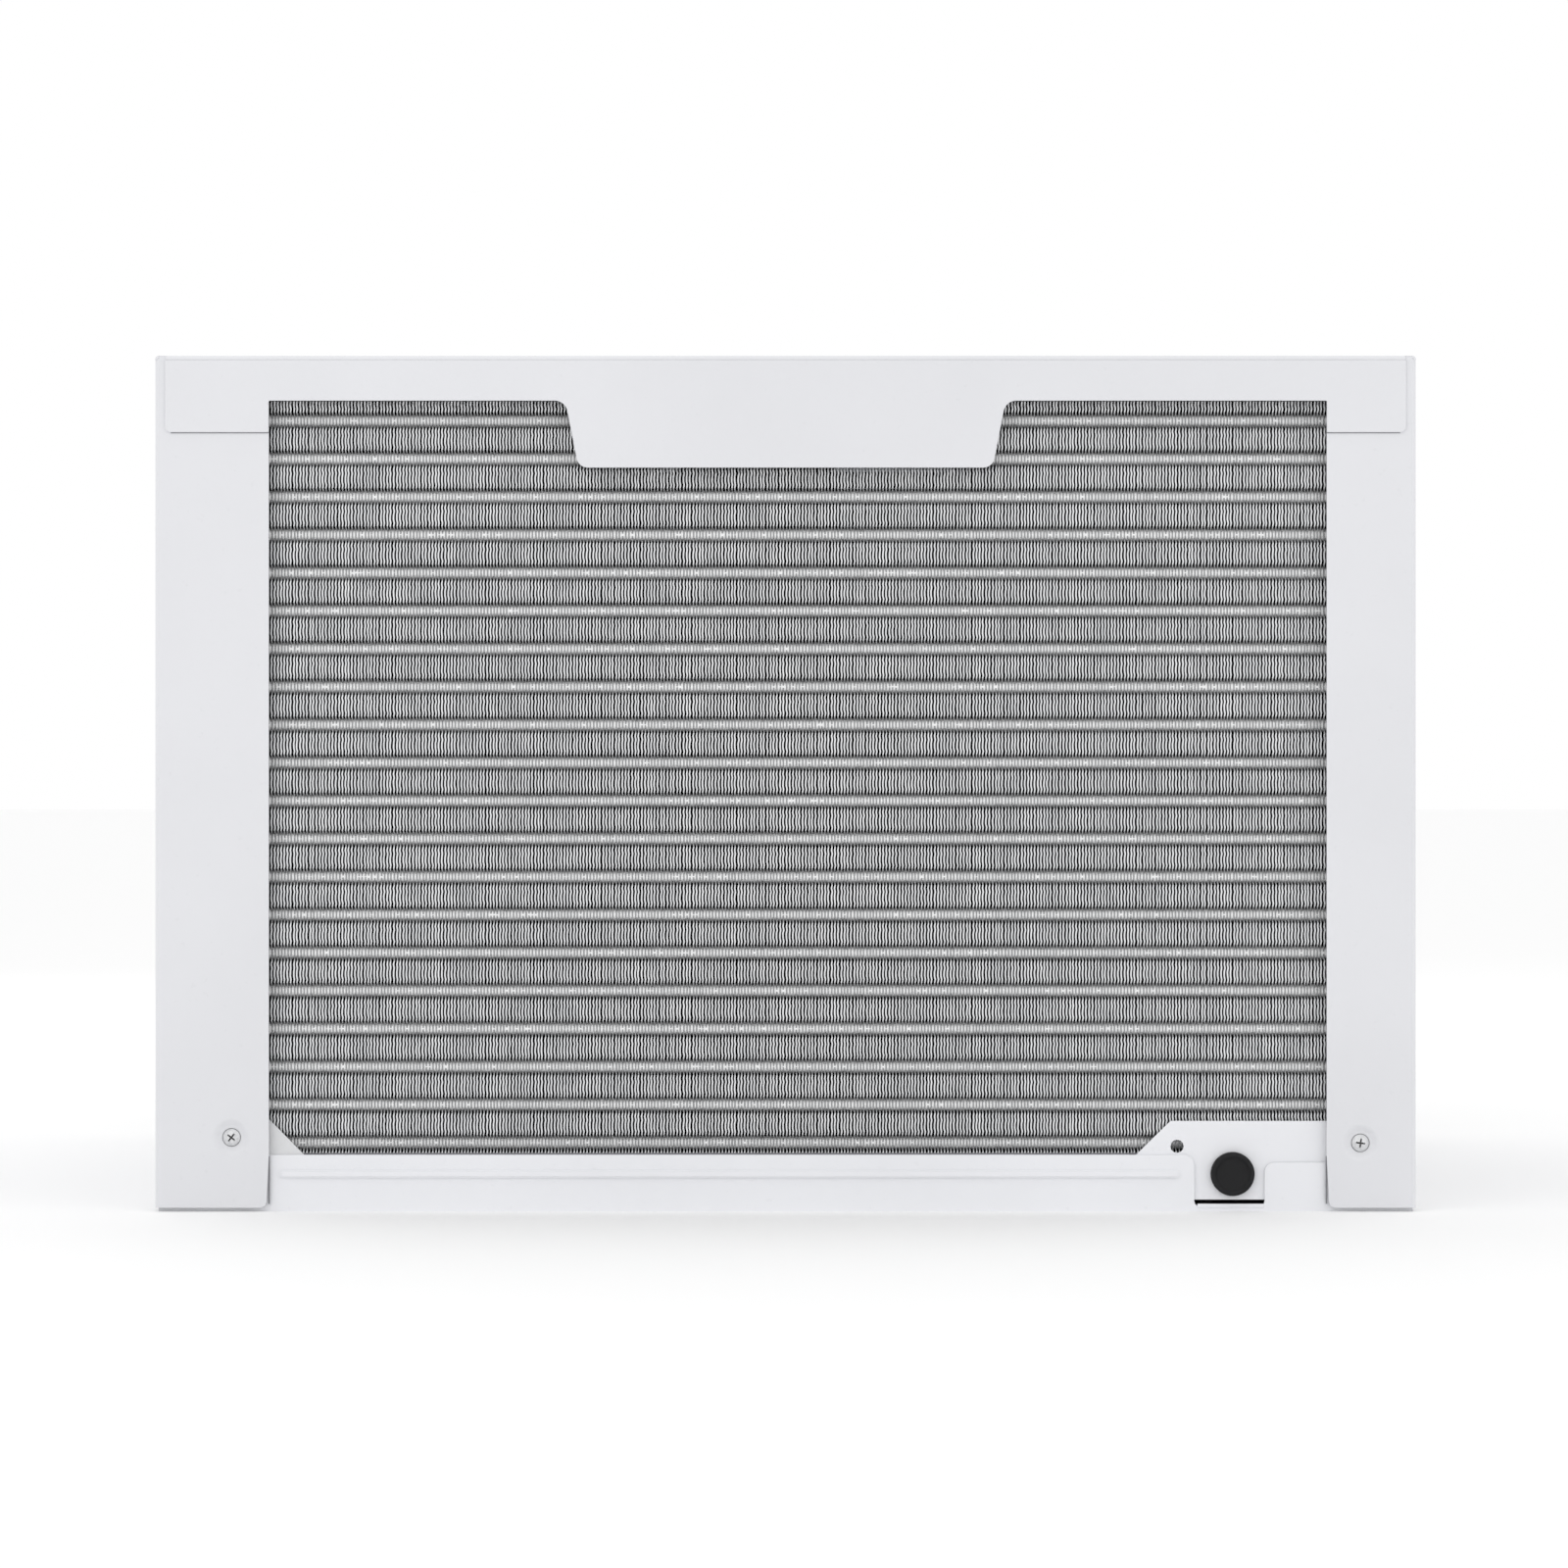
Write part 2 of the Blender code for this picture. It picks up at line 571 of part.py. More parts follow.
def make_air_system():
    centre = (AXIS_X, AXIS_Z)
    shroud = solid("fan_shroud", box((-306.0, 302.0), (254.0, 256.0), (4.5, 442.0)), "black_plastic")
    join(shroud, box((COND_X[0] - 3.0, COND_X[1] + 3.0), (255.0, COND_Y[0] - GAP), (22.0, 429.0)))
    cut(shroud, box((COND_X[0], COND_X[1]), (256.0, 300.0), (25.0, 426.0)))
    join(shroud, prism(circle(centre, SHROUD_HOLE + 3.0, 32), "Y", 230.0, 255.0))
    cut(shroud, prism(circle(centre, SHROUD_HOLE, 32), "Y", 200.0, 290.0))

    y0, y1 = FAN_Y
    hub = ((SHAFT_RADIUS + 0.3, y0 - 2), (24, y0 - 2), (30, y0 + 4), (30, y1), (24, y1 + 2), (SHAFT_RADIUS + 0.3, y1 + 2))
    fan = solid("condenser_fan", revolved(hub, "Y", centre, 20), "black_plastic", (AXIS_X, 232.0, AXIS_Z))
    blades = bmesh.new()
    rows = ((26.0, 22.0, 15.0, -6.0), (100.0, 34.0, 13.0, 0.0), (FAN_RADIUS - 1.0, 44.0, 10.0, 12.0))
    for k in range(FAN_BLADES):
        turn = 2 * pi * k / FAN_BLADES
        rings = []
        for radius, half, rise, sweep in rows:
            ring = []
            for across, thick in ((-1, -1), (1, -1), (1, 1), (-1, 1)):
                along = sweep + across * half
                deep = 232.0 + across * rise + thick * 1.3
                x = AXIS_X + radius * cos(turn) - along * sin(turn)
                z = AXIS_Z + radius * sin(turn) + along * cos(turn)
                ring.append(blades.verts.new((x, deep, z)))
            rings.append(ring)
        for a, b in zip(rings, rings[1:]):
            for i in range(4):
                j = (i + 1) % 4
                blades.faces.new((a[i], a[j], b[j], b[i]))
        blades.faces.new(rings[0][::-1])
        blades.faces.new(rings[-1])
    join_shift(fan, blades)
    rim = ((FAN_RADIUS - 6.0, 226.0), (FAN_RADIUS + 4.0, 226.0), (FAN_RADIUS + 4.0, 240.0), (FAN_RADIUS - 6.0, 240.0))
    cleared = revolved(((FAN_RADIUS - 1.0, 190.0), (FAN_RADIUS + 90.0, 190.0), (FAN_RADIUS + 90.0, 280.0), (FAN_RADIUS - 1.0, 280.0)), "Y", centre, 32)
    combine_shift(fan, cleared, "DIFFERENCE")
    join_shift(fan, revolved(rim, "Y", centre, 32))

    w0, w1 = WHEEL_Y
    disc = (
        (SHAFT_RADIUS + 0.3, w1 - 26.0),
        (18.0, w1 - 26.0),
        (18.0, w1 - 3.0),
        (WHEEL_RADIUS, w1 - 3.0),
        (WHEEL_RADIUS, w1),
        (SHAFT_RADIUS + 0.3, w1),
    )
    wheel = solid("blower_wheel", revolved(disc, "Y", centre, 28), "black_plastic", (AXIS_X, -140.0, AXIS_Z))
    vanes = bmesh.new()
    for k in range(WHEEL_BLADES):
        turn = 2 * pi * (k + 0.5) / WHEEL_BLADES
        foot = []
        for radius, lean, side in ((84.0, 0.0, -0.9), (102.0, 8.0, -0.9), (102.0, 8.0, 0.9), (84.0, 0.0, 0.9)):
            along = lean + side
            foot.append(
                (
                    AXIS_X + radius * cos(turn) - along * sin(turn),
                    AXIS_Z + radius * sin(turn) + along * cos(turn),
                )
            )
        add_prism(vanes, foot, "Y", w0 + 1.0, w1 - 1.5)
    join_shift(wheel, vanes)
    join_shift(wheel, revolved(((82.0, w0), (WHEEL_RADIUS, w0), (WHEEL_RADIUS, w0 + 4.0), (82.0, w0 + 4.0)), "Y", centre, 28))

    solid(
        "motor_shaft",
        revolved(((0, w0 + 66.0), (SHAFT_RADIUS, w0 + 66.0), (SHAFT_RADIUS, y1 + 6.0), (0, y1 + 6.0)), "Y", centre, 16),
        "screw_steel",
        (AXIS_X, 40.0, AXIS_Z),
    )
    m0, m1 = MOTOR_Y
    body = (
        (SHAFT_RADIUS + 0.5, m0 - 8),
        (20, m0 - 8),
        (24, m0),
        (MOTOR_RADIUS - 6, m0 + 4),
        (MOTOR_RADIUS, m0 + 14),
        (MOTOR_RADIUS, m1 - 14),
        (MOTOR_RADIUS - 6, m1 - 4),
        (24, m1),
        (20, m1 + 8),
        (SHAFT_RADIUS + 0.5, m1 + 8),
    )
    solid("fan_motor", revolved(body, "Y", centre, 24), "black_enamel")
    width = 46.0
    stand = (
        (AXIS_X - 80.0, 4.6),
        (AXIS_X + 80.0, 4.6),
        (AXIS_X + width, AXIS_Z - 20.0),
        (AXIS_X + width, AXIS_Z + 30.0),
        (AXIS_X - width, AXIS_Z + 30.0),
        (AXIS_X - width, AXIS_Z - 20.0),
    )
    bracket = solid("motor_bracket", prism(stand, "Y", m0 - 3.0, m0 - 0.6), "galvanised")
    join(bracket, box((AXIS_X - 80.0, AXIS_X + 80.0), (m0 - 3.0, m0 + 60.0), (1.6, 5.6)))
    cut(bracket, prism(circle(centre, 24.6, 20), "Y", m0 - 20.0, m0 + 10.0))

    wall = solid("bulkhead", box((-326.0, 326.0), (-84.0, -82.6), (1.6, 445.5)), "galvanised")
    holes = bmesh.new()
    add_prism(holes, circle(centre, 14.0, 16), "Y", -95.0, -70.0)
    add_prism(holes, circle((-300.0, 60.0), 7.0, 8), "Y", -95.0, -70.0)
    add_prism(holes, circle((292.0, 56.0), 8.0, 8), "Y", -95.0, -70.0)
    add_box(holes, VENT_X, (-95.0, -70.0), VENT_Z)
    cut(wall, holes)

    flow = arc(centre, 112.0, 50, 50, 1)[:1]
    steps = 22
    outer = []
    for i in range(steps + 1):
        turn = 50.0 - 230.0 * i / steps
        radius = 112.0 + 43.0 * i / steps
        outer.append((radius, turn))
    inside = [(AXIS_X + r * cos(radians(t)), AXIS_Z + r * sin(radians(t))) for r, t in outer]
    outside = [(AXIS_X + (r + 3) * cos(radians(t)), AXIS_Z + (r + 3) * sin(radians(t))) for r, t in outer]
    top = 329.5
    ring = [(inside[0][0], top)] + inside + [(inside[-1][0], top)]
    shell = [(outside[-1][0], top)] + outside[::-1] + [(outside[0][0], top)]
    solid("scroll_housing", prism(ring + shell, "Y", -199.0, -86.5), "white_foam")
    orifice = solid("blower_inlet_ring", box((-250.0, 236.0), (-204.0, -200.0), (36.0, 326.0)), "white_foam")
    join(orifice, prism(circle(centre, 80.0, 28), "Y", -222.0, -202.0))
    cut(orifice, prism(circle(centre, 76.0, 28), "Y", -230.0, -190.0))
    duct = solid("outlet_duct", box((-318.0, 136.0), (-266.0, -85.0), (330.0, 444.0)), "white_foam")
    cut(duct, box((-315.0, 133.0), (-280.0, -88.0), (333.0, 441.0)))
    cut(duct, box((inside[-1][0], inside[0][0]), (-196.0, -88.0), (320.0, 340.0)))
    cut(duct, box(VENT_X, (-95.0, -80.0), VENT_Z))
    flap = solid(
        "vent_door",
        box((VENT_X[0] - 3.0, VENT_X[1] + 3.0), (-82.2, -80.4), (VENT_Z[0] - 3.0, VENT_Z[1] + 4.0)),
        "grey_plastic",
        (86.0, -81.3, VENT_Z[1] + 4.0),
    )
    return flap, flow


def combine_shift(part, tool_mesh, operation):
    """As combine, for a part whose origin isn't the world's: its mesh is brought to the world first."""
    shift = Matrix.Translation(part.location)
    part.data.transform(shift)
    origin = part.location.copy()
    part.location = (0.0, 0.0, 0.0)
    combine(part, tool_mesh, operation)
    part.data.transform(Matrix.Translation(-origin))
    part.location = origin
    return part


def join_shift(part, tool_mesh):
    return combine_shift(part, tool_mesh, "UNION")


# ---------------------------------------------------------------- refrigerant circuit

def make_refrigeration():
    cx, cy = COMP
    r = COMP_RADIUS
    shell = ((0, 26.0), (r - 14, 27.0), (r, 38.0), (r, 150.0), (r + 1.5, 152.0), (r + 1.5, 158.0), (r, 160.0), (r, 236.0), (r - 16, 260.0), (0, 268.0))
    solid("compressor_shell", revolved(shell, "Z", COMP, 24), "black_enamel")
    plate = []
    for x, y in COMP_FEET:
        away = Vector((x - cx, y - cy)).normalized() * 15.0
        aside = Vector((-away.y, away.x))
        plate.append((x + away.x - aside.x, y + away.y - aside.y))
        plate.append((x + away.x + aside.x, y + away.y + aside.y))
    solid("compressor_base_plate", prism(plate, "Z", 22.4, 25.4), "black_enamel")
    for i, (x, y) in enumerate(COMP_FEET):
        foot = ((0, 6.3), (11, 6.3), (11, 9.0), (8, 12.0), (8, 17.0), (11, 19.0), (11, 22.0), (0, 22.0))
        solid(f"compressor_foot_{i + 1}", revolved(foot, "Z", (x, y), 14), "black_rubber")
    solid("terminal_cover", box((cx - 22.0, cx + 22.0), (cy - r - 22.0, cy - r - 2.0), (170.0, 222.0)), "black_plastic")
    bottle = ((0, 70.0), (16, 72.0), (24, 84.0), (24, 206.0), (14, 222.0), (0, 226.0))
    solid("accumulator", revolved(bottle, "Z", (138.0, 10.0), 18), "black_enamel")
    z = COND_FIRST_TUBE + TUBE_PITCH * (COND_TUBES - 1.5)
    right = COND_X[1] + 6.0
    discharge = [(cx, cy, 269.5), (cx, cy, 312.0), (cx + 20, cy, 330.0), (313.0, cy, 330.0), (313.0, 245.0, 360.0)]
    discharge += [(313.0, 290.0, z), (308.0, COND_ROWS[0], z), (right + 1.0, COND_ROWS[0], z)]
    solid("discharge_pipe", pipe(discharge, 4.0, 8), "copper")
    edge = EVAP_X[1] + 7.0
    zero = EVAP_FIRST_TUBE + TUBE_PITCH * 0.5
    suction = [(edge, EVAP_ROWS[1], zero), (284.0, EVAP_ROWS[1], zero), (292.0, -226.0, 56.0), (292.0, -60.0, 56.0)]
    suction += [(292.0, -44.0, 70.0), (292.0, -44.0, 270.0), (280.0, -44.0, 286.0), (150.0, -44.0, 286.0)]
    suction += [(138.0, -30.0, 286.0), (138.0, 0.0, 286.0), (138.0, 10.0, 276.0), (138.0, 10.0, 227.0)]
    solid("suction_pipe", pipe(suction, 5.0, 8), "copper")
    left = COND_X[0] - 7.0
    top = COND_FIRST_TUBE + TUBE_PITCH * (COND_TUBES - 1)
    liquid = [(left, COND_ROWS[1], top), (-312.0, COND_ROWS[1], top), (-320.0, COND_ROWS[1] - 8.0, top)]
    liquid += [(-320.0, 60.0, top), (-312.0, 48.0, top), (-300.0, 40.0, top - 10.0), (-300.0, 40.0, 232.0)]
    solid("liquid_pipe", pipe(liquid, 3.2, 8, (0.0, 0.0, 1.0)), "copper")
    drier = ((0, 150.0), (4, 150.0), (11, 162.0), (11, 218.0), (4, 231.0), (0, 231.0))
    solid("filter_drier", revolved(drier, "Z", (-300.0, 40.0), 16), "copper")
    low = EVAP_FIRST_TUBE
    coil = [(-300.0, 40.0, 148.5), (-300.0, 40.0, 140.0)]
    turns, steps = 3, 8
    for i in range(turns * steps + 1):
        turn = 2 * pi * i / steps
        coil.append((-280.0 - 20.0 * cos(turn), 40.0 + 20.0 * sin(turn), 132.0 - 6.0 * i / steps * 2))
    coil += [(-300.0, 20.0, 88.0), (-300.0, -20.0, 60.0), (-300.0, -240.0, 60.0), (-296.0, EVAP_ROWS[0], 50.0)]
    coil += [(-288.0, EVAP_ROWS[0], low), (EVAP_X[0] - 7.0, EVAP_ROWS[0], low)]
    solid("capillary_tube", pipe(coil, 1.6, 6, (0.0, 0.0, 1.0)), "copper")


# ---------------------------------------------------------------- room-side front

def make_front():
    low, high = BEZEL_Z
    bezel = solid("front_bezel", box((-HALF_WIDTH, HALF_WIDTH), (FACE, CASE_FRONT - GAP), (low, high)), "front_plastic")
    cut(bezel, box((-HALF_WIDTH + WALL, HALF_WIDTH - WALL), (FACE + WALL, -200.0), (low + WALL, high - WALL)))
    ox0, ox1 = OUTLET_X
    oz0, oz1 = OUTLET_Z
    join(bezel, box((ox0 - 3.0, ox1 + 3.0), (FACE + 1.0, -267.0), (oz0 - 3.0, oz1 + 3.0)))
    cut(bezel, box((ox0, ox1), (FACE - 9.0, -200.0), (oz0, oz1)))
    cut(bezel, box((PANEL_X[0] - 1.0, PANEL_X[1] + 1.0), (FACE - 9.0, -300.0), (PANEL_Z[0] - 1.0, PANEL_Z[1] + 1.0)))
    cut(bezel, box((-INTAKE_X, INTAKE_X), (FACE - 9.0, FACE + 9.0), INTAKE_Z))
    side = HALF_WIDTH - 1.0
    join(bezel, box((-side, side), (-296.0, -283.0), (19.5, 25.5)))
    join(bezel, box((-side, side), (-296.0, -283.0), (314.5, 320.0)))
    cut(bezel, box((HALF_WIDTH - 9.0, HALF_WIDTH + 9.0), (FILTER_Y[0] - 1.0, FILTER_Y[1] + 1.0), (25.5, 314.5)))
    cut(bezel, box((24.0, 66.0), (FACE - 9.0, FACE + 9.0), (436.5, 440.5)))

    grille_low, grille_high = INTAKE_Z[0] + 1.0, INTAKE_Z[1] - 1.0
    grille = solid(
        "intake_grille",
        prism(
            (
                (-338.0, grille_low + 3.0),
                (-335.0, grille_low),
                (-330.0, grille_low),
                (-330.0, grille_high),
                (-335.0, grille_high),
                (-338.0, grille_high - 3.0),
            ),
            "X",
            -INTAKE_X + 1.0,
            INTAKE_X - 1.0,
        ),
        "front_plastic",
        (0.0, HINGE_Y, HINGE_Z),
    )
    slots = bmesh.new()
    for i in range(GRILLE_SLOTS):
        z = 38.0 + i * GRILLE_PITCH
        for x0, x1 in ((-296.0, -4.0), (4.0, 296.0)):
            add_box(slots, (x0, x1), (-345.0, -320.0), (z, z + 9.0))
    combine_shift(grille, slots, "DIFFERENCE")

    mesh = solid("air_filter", box((-300.0, 329.4), FILTER_Y, FILTER_Z), "filter_mesh", (0.0, -289.5, 170.0))
    windows = bmesh.new()
    for i in range(6):
        for j in range(3):
            x = -292.0 + i * 101.0
            z = 34.0 + j * 92.0
            add_box(windows, (x, x + 95.0), (-289.0, -280.0), (z, z + 86.0))
    combine_shift(mesh, windows, "DIFFERENCE")

    for i, z in enumerate(LOUVER_Z):
        half = LOUVER_CHORD / 2
        blade = (
            (LOUVER_Y - half, z),
            (LOUVER_Y - half + 3.0, z - 1.4),
            (LOUVER_Y, z - 2.0),
            (LOUVER_Y + half, z - 0.6),
            (LOUVER_Y + half, z + 0.6),
            (LOUVER_Y, z + 2.0),
            (LOUVER_Y - half + 3.0, z + 1.4),
        )
        solid(
            f"louver_{i + 1}",
            prism(blade, "X", OUTLET_X[0] + 0.8, OUTLET_X[1] - 0.8),
            "front_plastic",
            (0.0, LOUVER_Y, z),
        )
    for i, x in enumerate(VANE_X):
        blade = solid(
            f"vane_{i + 1}",
            box((x - 1.0, x + 1.0), (VANE_Y - 16.0, VANE_Y + 20.0), (346.0, 425.0)),
            "front_plastic",
            (x, VANE_Y, 380.0),
        )
        for y, z0, z1 in ((VANE_Y, 334.6, 348.0), (VANE_Y, 423.0, 429.4), (LINK_Y, 336.6, 348.0)):
            join_shift(blade, prism(circle((x, y), 2.0, 10), "Z", z0, z1))
    link = solid(
        "vane_link",
        box((VANE_X[0] - 6.0, VANE_X[-1] + 6.0), (LINK_Y - 4.0, LINK_Y + 4.0), (338.0, 342.0)),
        "grey_plastic",
        (VANE_X[2], LINK_Y, 340.0),
    )
    pins = bmesh.new()
    for x in VANE_X:
        add_prism(pins, circle((x, LINK_Y), 2.5, 10), "Z", 330.0, 350.0)
    combine_shift(link, pins, "DIFFERENCE")

    lever = solid("vent_lever", box((26.0, 40.0), (-337.8, FACE - 0.4), (434.5, 442.5)), "grey_plastic", (33.0, FACE, 438.5))
    join_shift(lever, box((28.0, 38.0), (FACE - 2.0, FACE + 5.0), (437.0, 440.0)))


def make_controls():
    panel = solid("control_panel", box(PANEL_X, (FACE, FACE + WALL), PANEL_Z), "grey_plastic")
    holes = bmesh.new()
    for x, z, half_x, half_z in BUTTONS.values():
        add_box(holes, (x - half_x - GAP, x + half_x + GAP), (FACE - 9.0, FACE + 9.0), (z - half_z - GAP, z + half_z + GAP))
    add_box(holes, DISPLAY_X, (FACE - 9.0, FACE + 9.0), DISPLAY_Z)
    cut(panel, holes)
    window = ((DISPLAY_X[0] + GAP, DISPLAY_X[1] - GAP), (FACE + 0.4, FACE + 3.4), (DISPLAY_Z[0] + GAP, DISPLAY_Z[1] - GAP))
    solid("display_window", box(*window), "smoked_window")
    for name, (x, z, half_x, half_z) in BUTTONS.items():
        cap = (
            (x - half_x, z - half_z + 2.0),
            (x - half_x + 2.0, z - half_z),
            (x + half_x - 2.0, z - half_z),
            (x + half_x, z - half_z + 2.0),
            (x + half_x, z + half_z - 2.0),
            (x + half_x - 2.0, z + half_z),
            (x - half_x + 2.0, z + half_z),
            (x - half_x, z + half_z - 2.0),
        )
        solid(name, prism(cap, "Y", FACE - 2.2, FACE + 7.0), "front_plastic", (x, FACE, z))
    solid("control_board", box((152.0, 308.0), (-321.0, -319.4), (338.0, 426.0)), "board_green")
    tray = solid("control_box", box((148.0, 312.0), (-264.0, -150.0), (334.0, 438.0)), "galvanised")
    cut(tray, box((149.5, 310.5), (-280.0, -151.5), (335.5, 436.5)))
    solid("run_capacitor", revolved(((0, 337.0), (21, 337.0), (21, 410.0), (18, 412.0), (0, 412.0)), "Z", (220.0, -200.0), 18), "fin_aluminium")


make_base_pan()
make_cabinet()
make_rear_details()
make_coils()
make_air_system()
make_refrigeration()
make_front()
make_controls()
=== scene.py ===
"""The looks of the window air conditioner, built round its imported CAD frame.

The outdoor coil faces +Y and the room side faces -Y. Lengths are in metres.
"""
import json
from math import cos, pi, radians, sin, tan
from random import Random

import bmesh
import bpy
from mathutils import Matrix, Vector


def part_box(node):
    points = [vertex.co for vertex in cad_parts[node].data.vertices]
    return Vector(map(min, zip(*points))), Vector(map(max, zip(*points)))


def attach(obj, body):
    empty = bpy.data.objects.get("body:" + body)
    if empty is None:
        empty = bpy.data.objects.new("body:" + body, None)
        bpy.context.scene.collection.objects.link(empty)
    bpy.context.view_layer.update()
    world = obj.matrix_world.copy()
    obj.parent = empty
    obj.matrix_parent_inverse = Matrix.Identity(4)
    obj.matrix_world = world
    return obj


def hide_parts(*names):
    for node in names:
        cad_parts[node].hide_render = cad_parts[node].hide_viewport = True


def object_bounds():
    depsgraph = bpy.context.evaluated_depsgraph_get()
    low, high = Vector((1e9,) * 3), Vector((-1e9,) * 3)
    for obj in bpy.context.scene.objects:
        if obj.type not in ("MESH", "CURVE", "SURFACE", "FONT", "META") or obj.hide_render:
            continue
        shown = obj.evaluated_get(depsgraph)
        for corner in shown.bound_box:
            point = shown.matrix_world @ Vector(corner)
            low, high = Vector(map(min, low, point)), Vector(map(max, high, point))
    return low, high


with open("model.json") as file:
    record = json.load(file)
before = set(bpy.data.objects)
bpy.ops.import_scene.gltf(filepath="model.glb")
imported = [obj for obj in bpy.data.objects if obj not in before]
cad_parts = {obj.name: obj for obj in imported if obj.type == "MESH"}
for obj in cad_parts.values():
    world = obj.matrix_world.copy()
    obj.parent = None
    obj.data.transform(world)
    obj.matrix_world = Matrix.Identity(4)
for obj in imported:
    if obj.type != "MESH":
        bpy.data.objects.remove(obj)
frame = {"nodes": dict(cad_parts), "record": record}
NODES = frame["nodes"]
CAD_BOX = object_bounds()

# Outdoor coil
TUBE_PITCH = 0.019965
FIRST_TUBE = 0.0353
TUBE_COUNT = 20
ROW_Y = (0.3015, 0.3195)
FIN_PITCH = 0.00169
FIN_FACE = 0.3282
FIN_BACK = 0.2930
COLLAR_RADIUS = 0.0043
TUBE_RADIUS = 0.0035
TUBE_REACH = 0.006
FIN_GROUPS = 4
FIN_HALF_WAVE = (
    # Height above the tube, dip, half thickness, wave; it repeats below the tube with the wave reversed.
    (0.00170, 0.0042, 0.00040, 0.0),
    (0.00250, 0.0036, 0.00018, -0.2),
    (0.00430, 0.0004, 0.00030, 0.5),
    (0.00600, 0.0000, 0.00038, -0.8),
    (0.00790, 0.0000, 0.00040, 0.8),
)
FIN_JOIN = (-0.00993, 0.0, 0.00040, 0.7)

# Indoor coil
EVAP_ROW_Y = (-0.255, -0.237)
EVAP_FIRST_TUBE = 0.046
EVAP_TUBES = 14
EVAP_FIN_PITCH = 0.0024

# Cabinet
SHEET = 0.0012
BEND = 0.0022
BEND_STEPS = 6
TOP_BEND_INSET = 0.0058
SIDE_SLOTS = 12
SIDE_SLOT_PITCH = 0.027
SIDE_SLOT_LOW = 0.070
SIDE_SLOT_Y = (-0.040, 0.205)
TOP_SLOTS = 9
TOP_SLOT_PITCH = 0.026
TOP_SLOT_LOW = -0.030
TOP_SLOT_X = (-0.200, 0.200)
SLOT_WIDTH = 0.008
SLOT_PRESS = 0.0055
SCREW_SPOTS = {-1.0: (-0.3009, 0.0359), 1.0: (0.2900, 0.0388)}
OPENING_X = {-1.0: -0.2832, 1.0: 0.2704}
OPENING_TOP = 0.4243
TAB_INSET = 0.0053
TAB_DROP = 0.0402
MIDDLE_TAB_DROP = 0.0587
MIDDLE_TAB_TOP = 0.1152
MIDDLE_TAB_FOOT = 0.1084
HIGH_FLANGE = CAD_BOX[1][2] - 0.0004

# Inner parts
COMPRESSOR_RADIUS = 0.062
ACCUMULATOR_RADIUS = 0.024
MOTOR_RADIUS = 0.064
MOTOR_BORE = 0.0065
PIPE_BEND = 0.012
PIPE_STUB = 0.007
CAPILLARY_TURNS = 3

# Rear screws: radius and depth of the dish each one sits in, then the head and its cross
DISH = (
    (0.0024, 0.00150), (0.0042, 0.00150), (0.0058, 0.00148), (0.0066, 0.00135), (0.0076, 0.00085),
    (0.0086, 0.00032), (0.0094, 0.00005), (0.0102, 0.0), (0.0125, 0.0),
)
DISH_STEPS = 64
HEAD_RADIUS = 0.0048
HEAD_HEIGHT = 0.0024
HEAD_STEPS = 48
CROSS_ARM = 0.0025
CROSS_HALF = 0.00045

# Room side
GRILLE_RIM = 0.0190
SLATS = 16
SLAT_PITCH = 0.016
FIRST_SLAT = 0.0505
RIB_PITCH = 0.0990
HINGE_X = 0.295
HINGE_LINE = (-0.334, 0.021)
LOUVER_HALF = 0.0019
THREAD_PITCH = 0.0026
THREAD = 0.00022
BUTTON_NAMES = ("button_power", "button_mode", "button_fan", "button_down", "button_up")
BUTTON_CORNER = 0.0026

# Stage
FLOOR_HALF = 60.0
CAMERA_AWAY = 3.0
SIGHT_WIDTH = 0.8202
SENSOR = 36.0
LIGHT_AIM = (0.0, 0.0, 0.224)

# Colours, linear
PAINT = (0.7395, 0.7433, 0.7689)
PAN = (0.832, 0.838, 0.866)
FRONT = (0.76, 0.765, 0.775)
BLACK = (0.0, 0.0, 0.0)
WHITE = (1.0, 1.0, 1.0)
GREY_WEAR = (0.06, 0.06, 0.06)
PALE_WEAR = (0.12, 0.12, 0.12)
CHIP_WEAR = (0.16, 0.16, 0.16)


# ---- materials

def new_material(name):
    material = bpy.data.materials.new(name)
    material.use_nodes = True
    tree = material.node_tree
    shader = tree.nodes["Principled BSDF"]
    return material, tree, shader


def set_inputs(made, values):
    for key, value in values.items():
        made.inputs[key].default_value = value


def add_node(tree, kind, inputs=None, **settings):
    made = tree.nodes.new(kind)
    set_inputs(made, inputs or {})
    for key, value in settings.items():
        setattr(made, key, value)
    return made


def own_place(tree):
    return tree.nodes.new("ShaderNodeTexCoord").outputs["Object"]


def noise(tree, scale, detail=3.0, rough=0.5, stretch=(1.0, 1.0, 1.0)):
    mapping = add_node(tree, "ShaderNodeMapping", {"Scale": stretch})
    tree.links.new(own_place(tree), mapping.inputs["Vector"])
    made = add_node(tree, "ShaderNodeTexNoise", {"Scale": scale, "Detail": detail, "Roughness": rough})
    tree.links.new(mapping.outputs["Vector"], made.inputs["Vector"])
    return made.outputs["Fac"]


def ramp(tree, source, low, high, first, second):
    made = tree.nodes.new("ShaderNodeValToRGB")
    for element, spot, colour in zip(made.color_ramp.elements, (low, high), (first, second)):
        element.position = spot
        element.color = (*colour, 1.0)
    tree.links.new(source, made.inputs["Fac"])
    return made.outputs["Color"]


def spread(tree, source, low, high):
    made = add_node(tree, "ShaderNodeMapRange", {"To Min": low, "To Max": high})
    tree.links.new(source, made.inputs["Value"])
    return made.outputs["Result"]


def bump(tree, source, strength, distance, before=None):
    made = add_node(tree, "ShaderNodeBump", {"Strength": strength, "Distance": distance})
    tree.links.new(source, made.inputs["Height"])
    if before is not None:
        tree.links.new(before, made.inputs["Normal"])
    return made.outputs["Normal"]


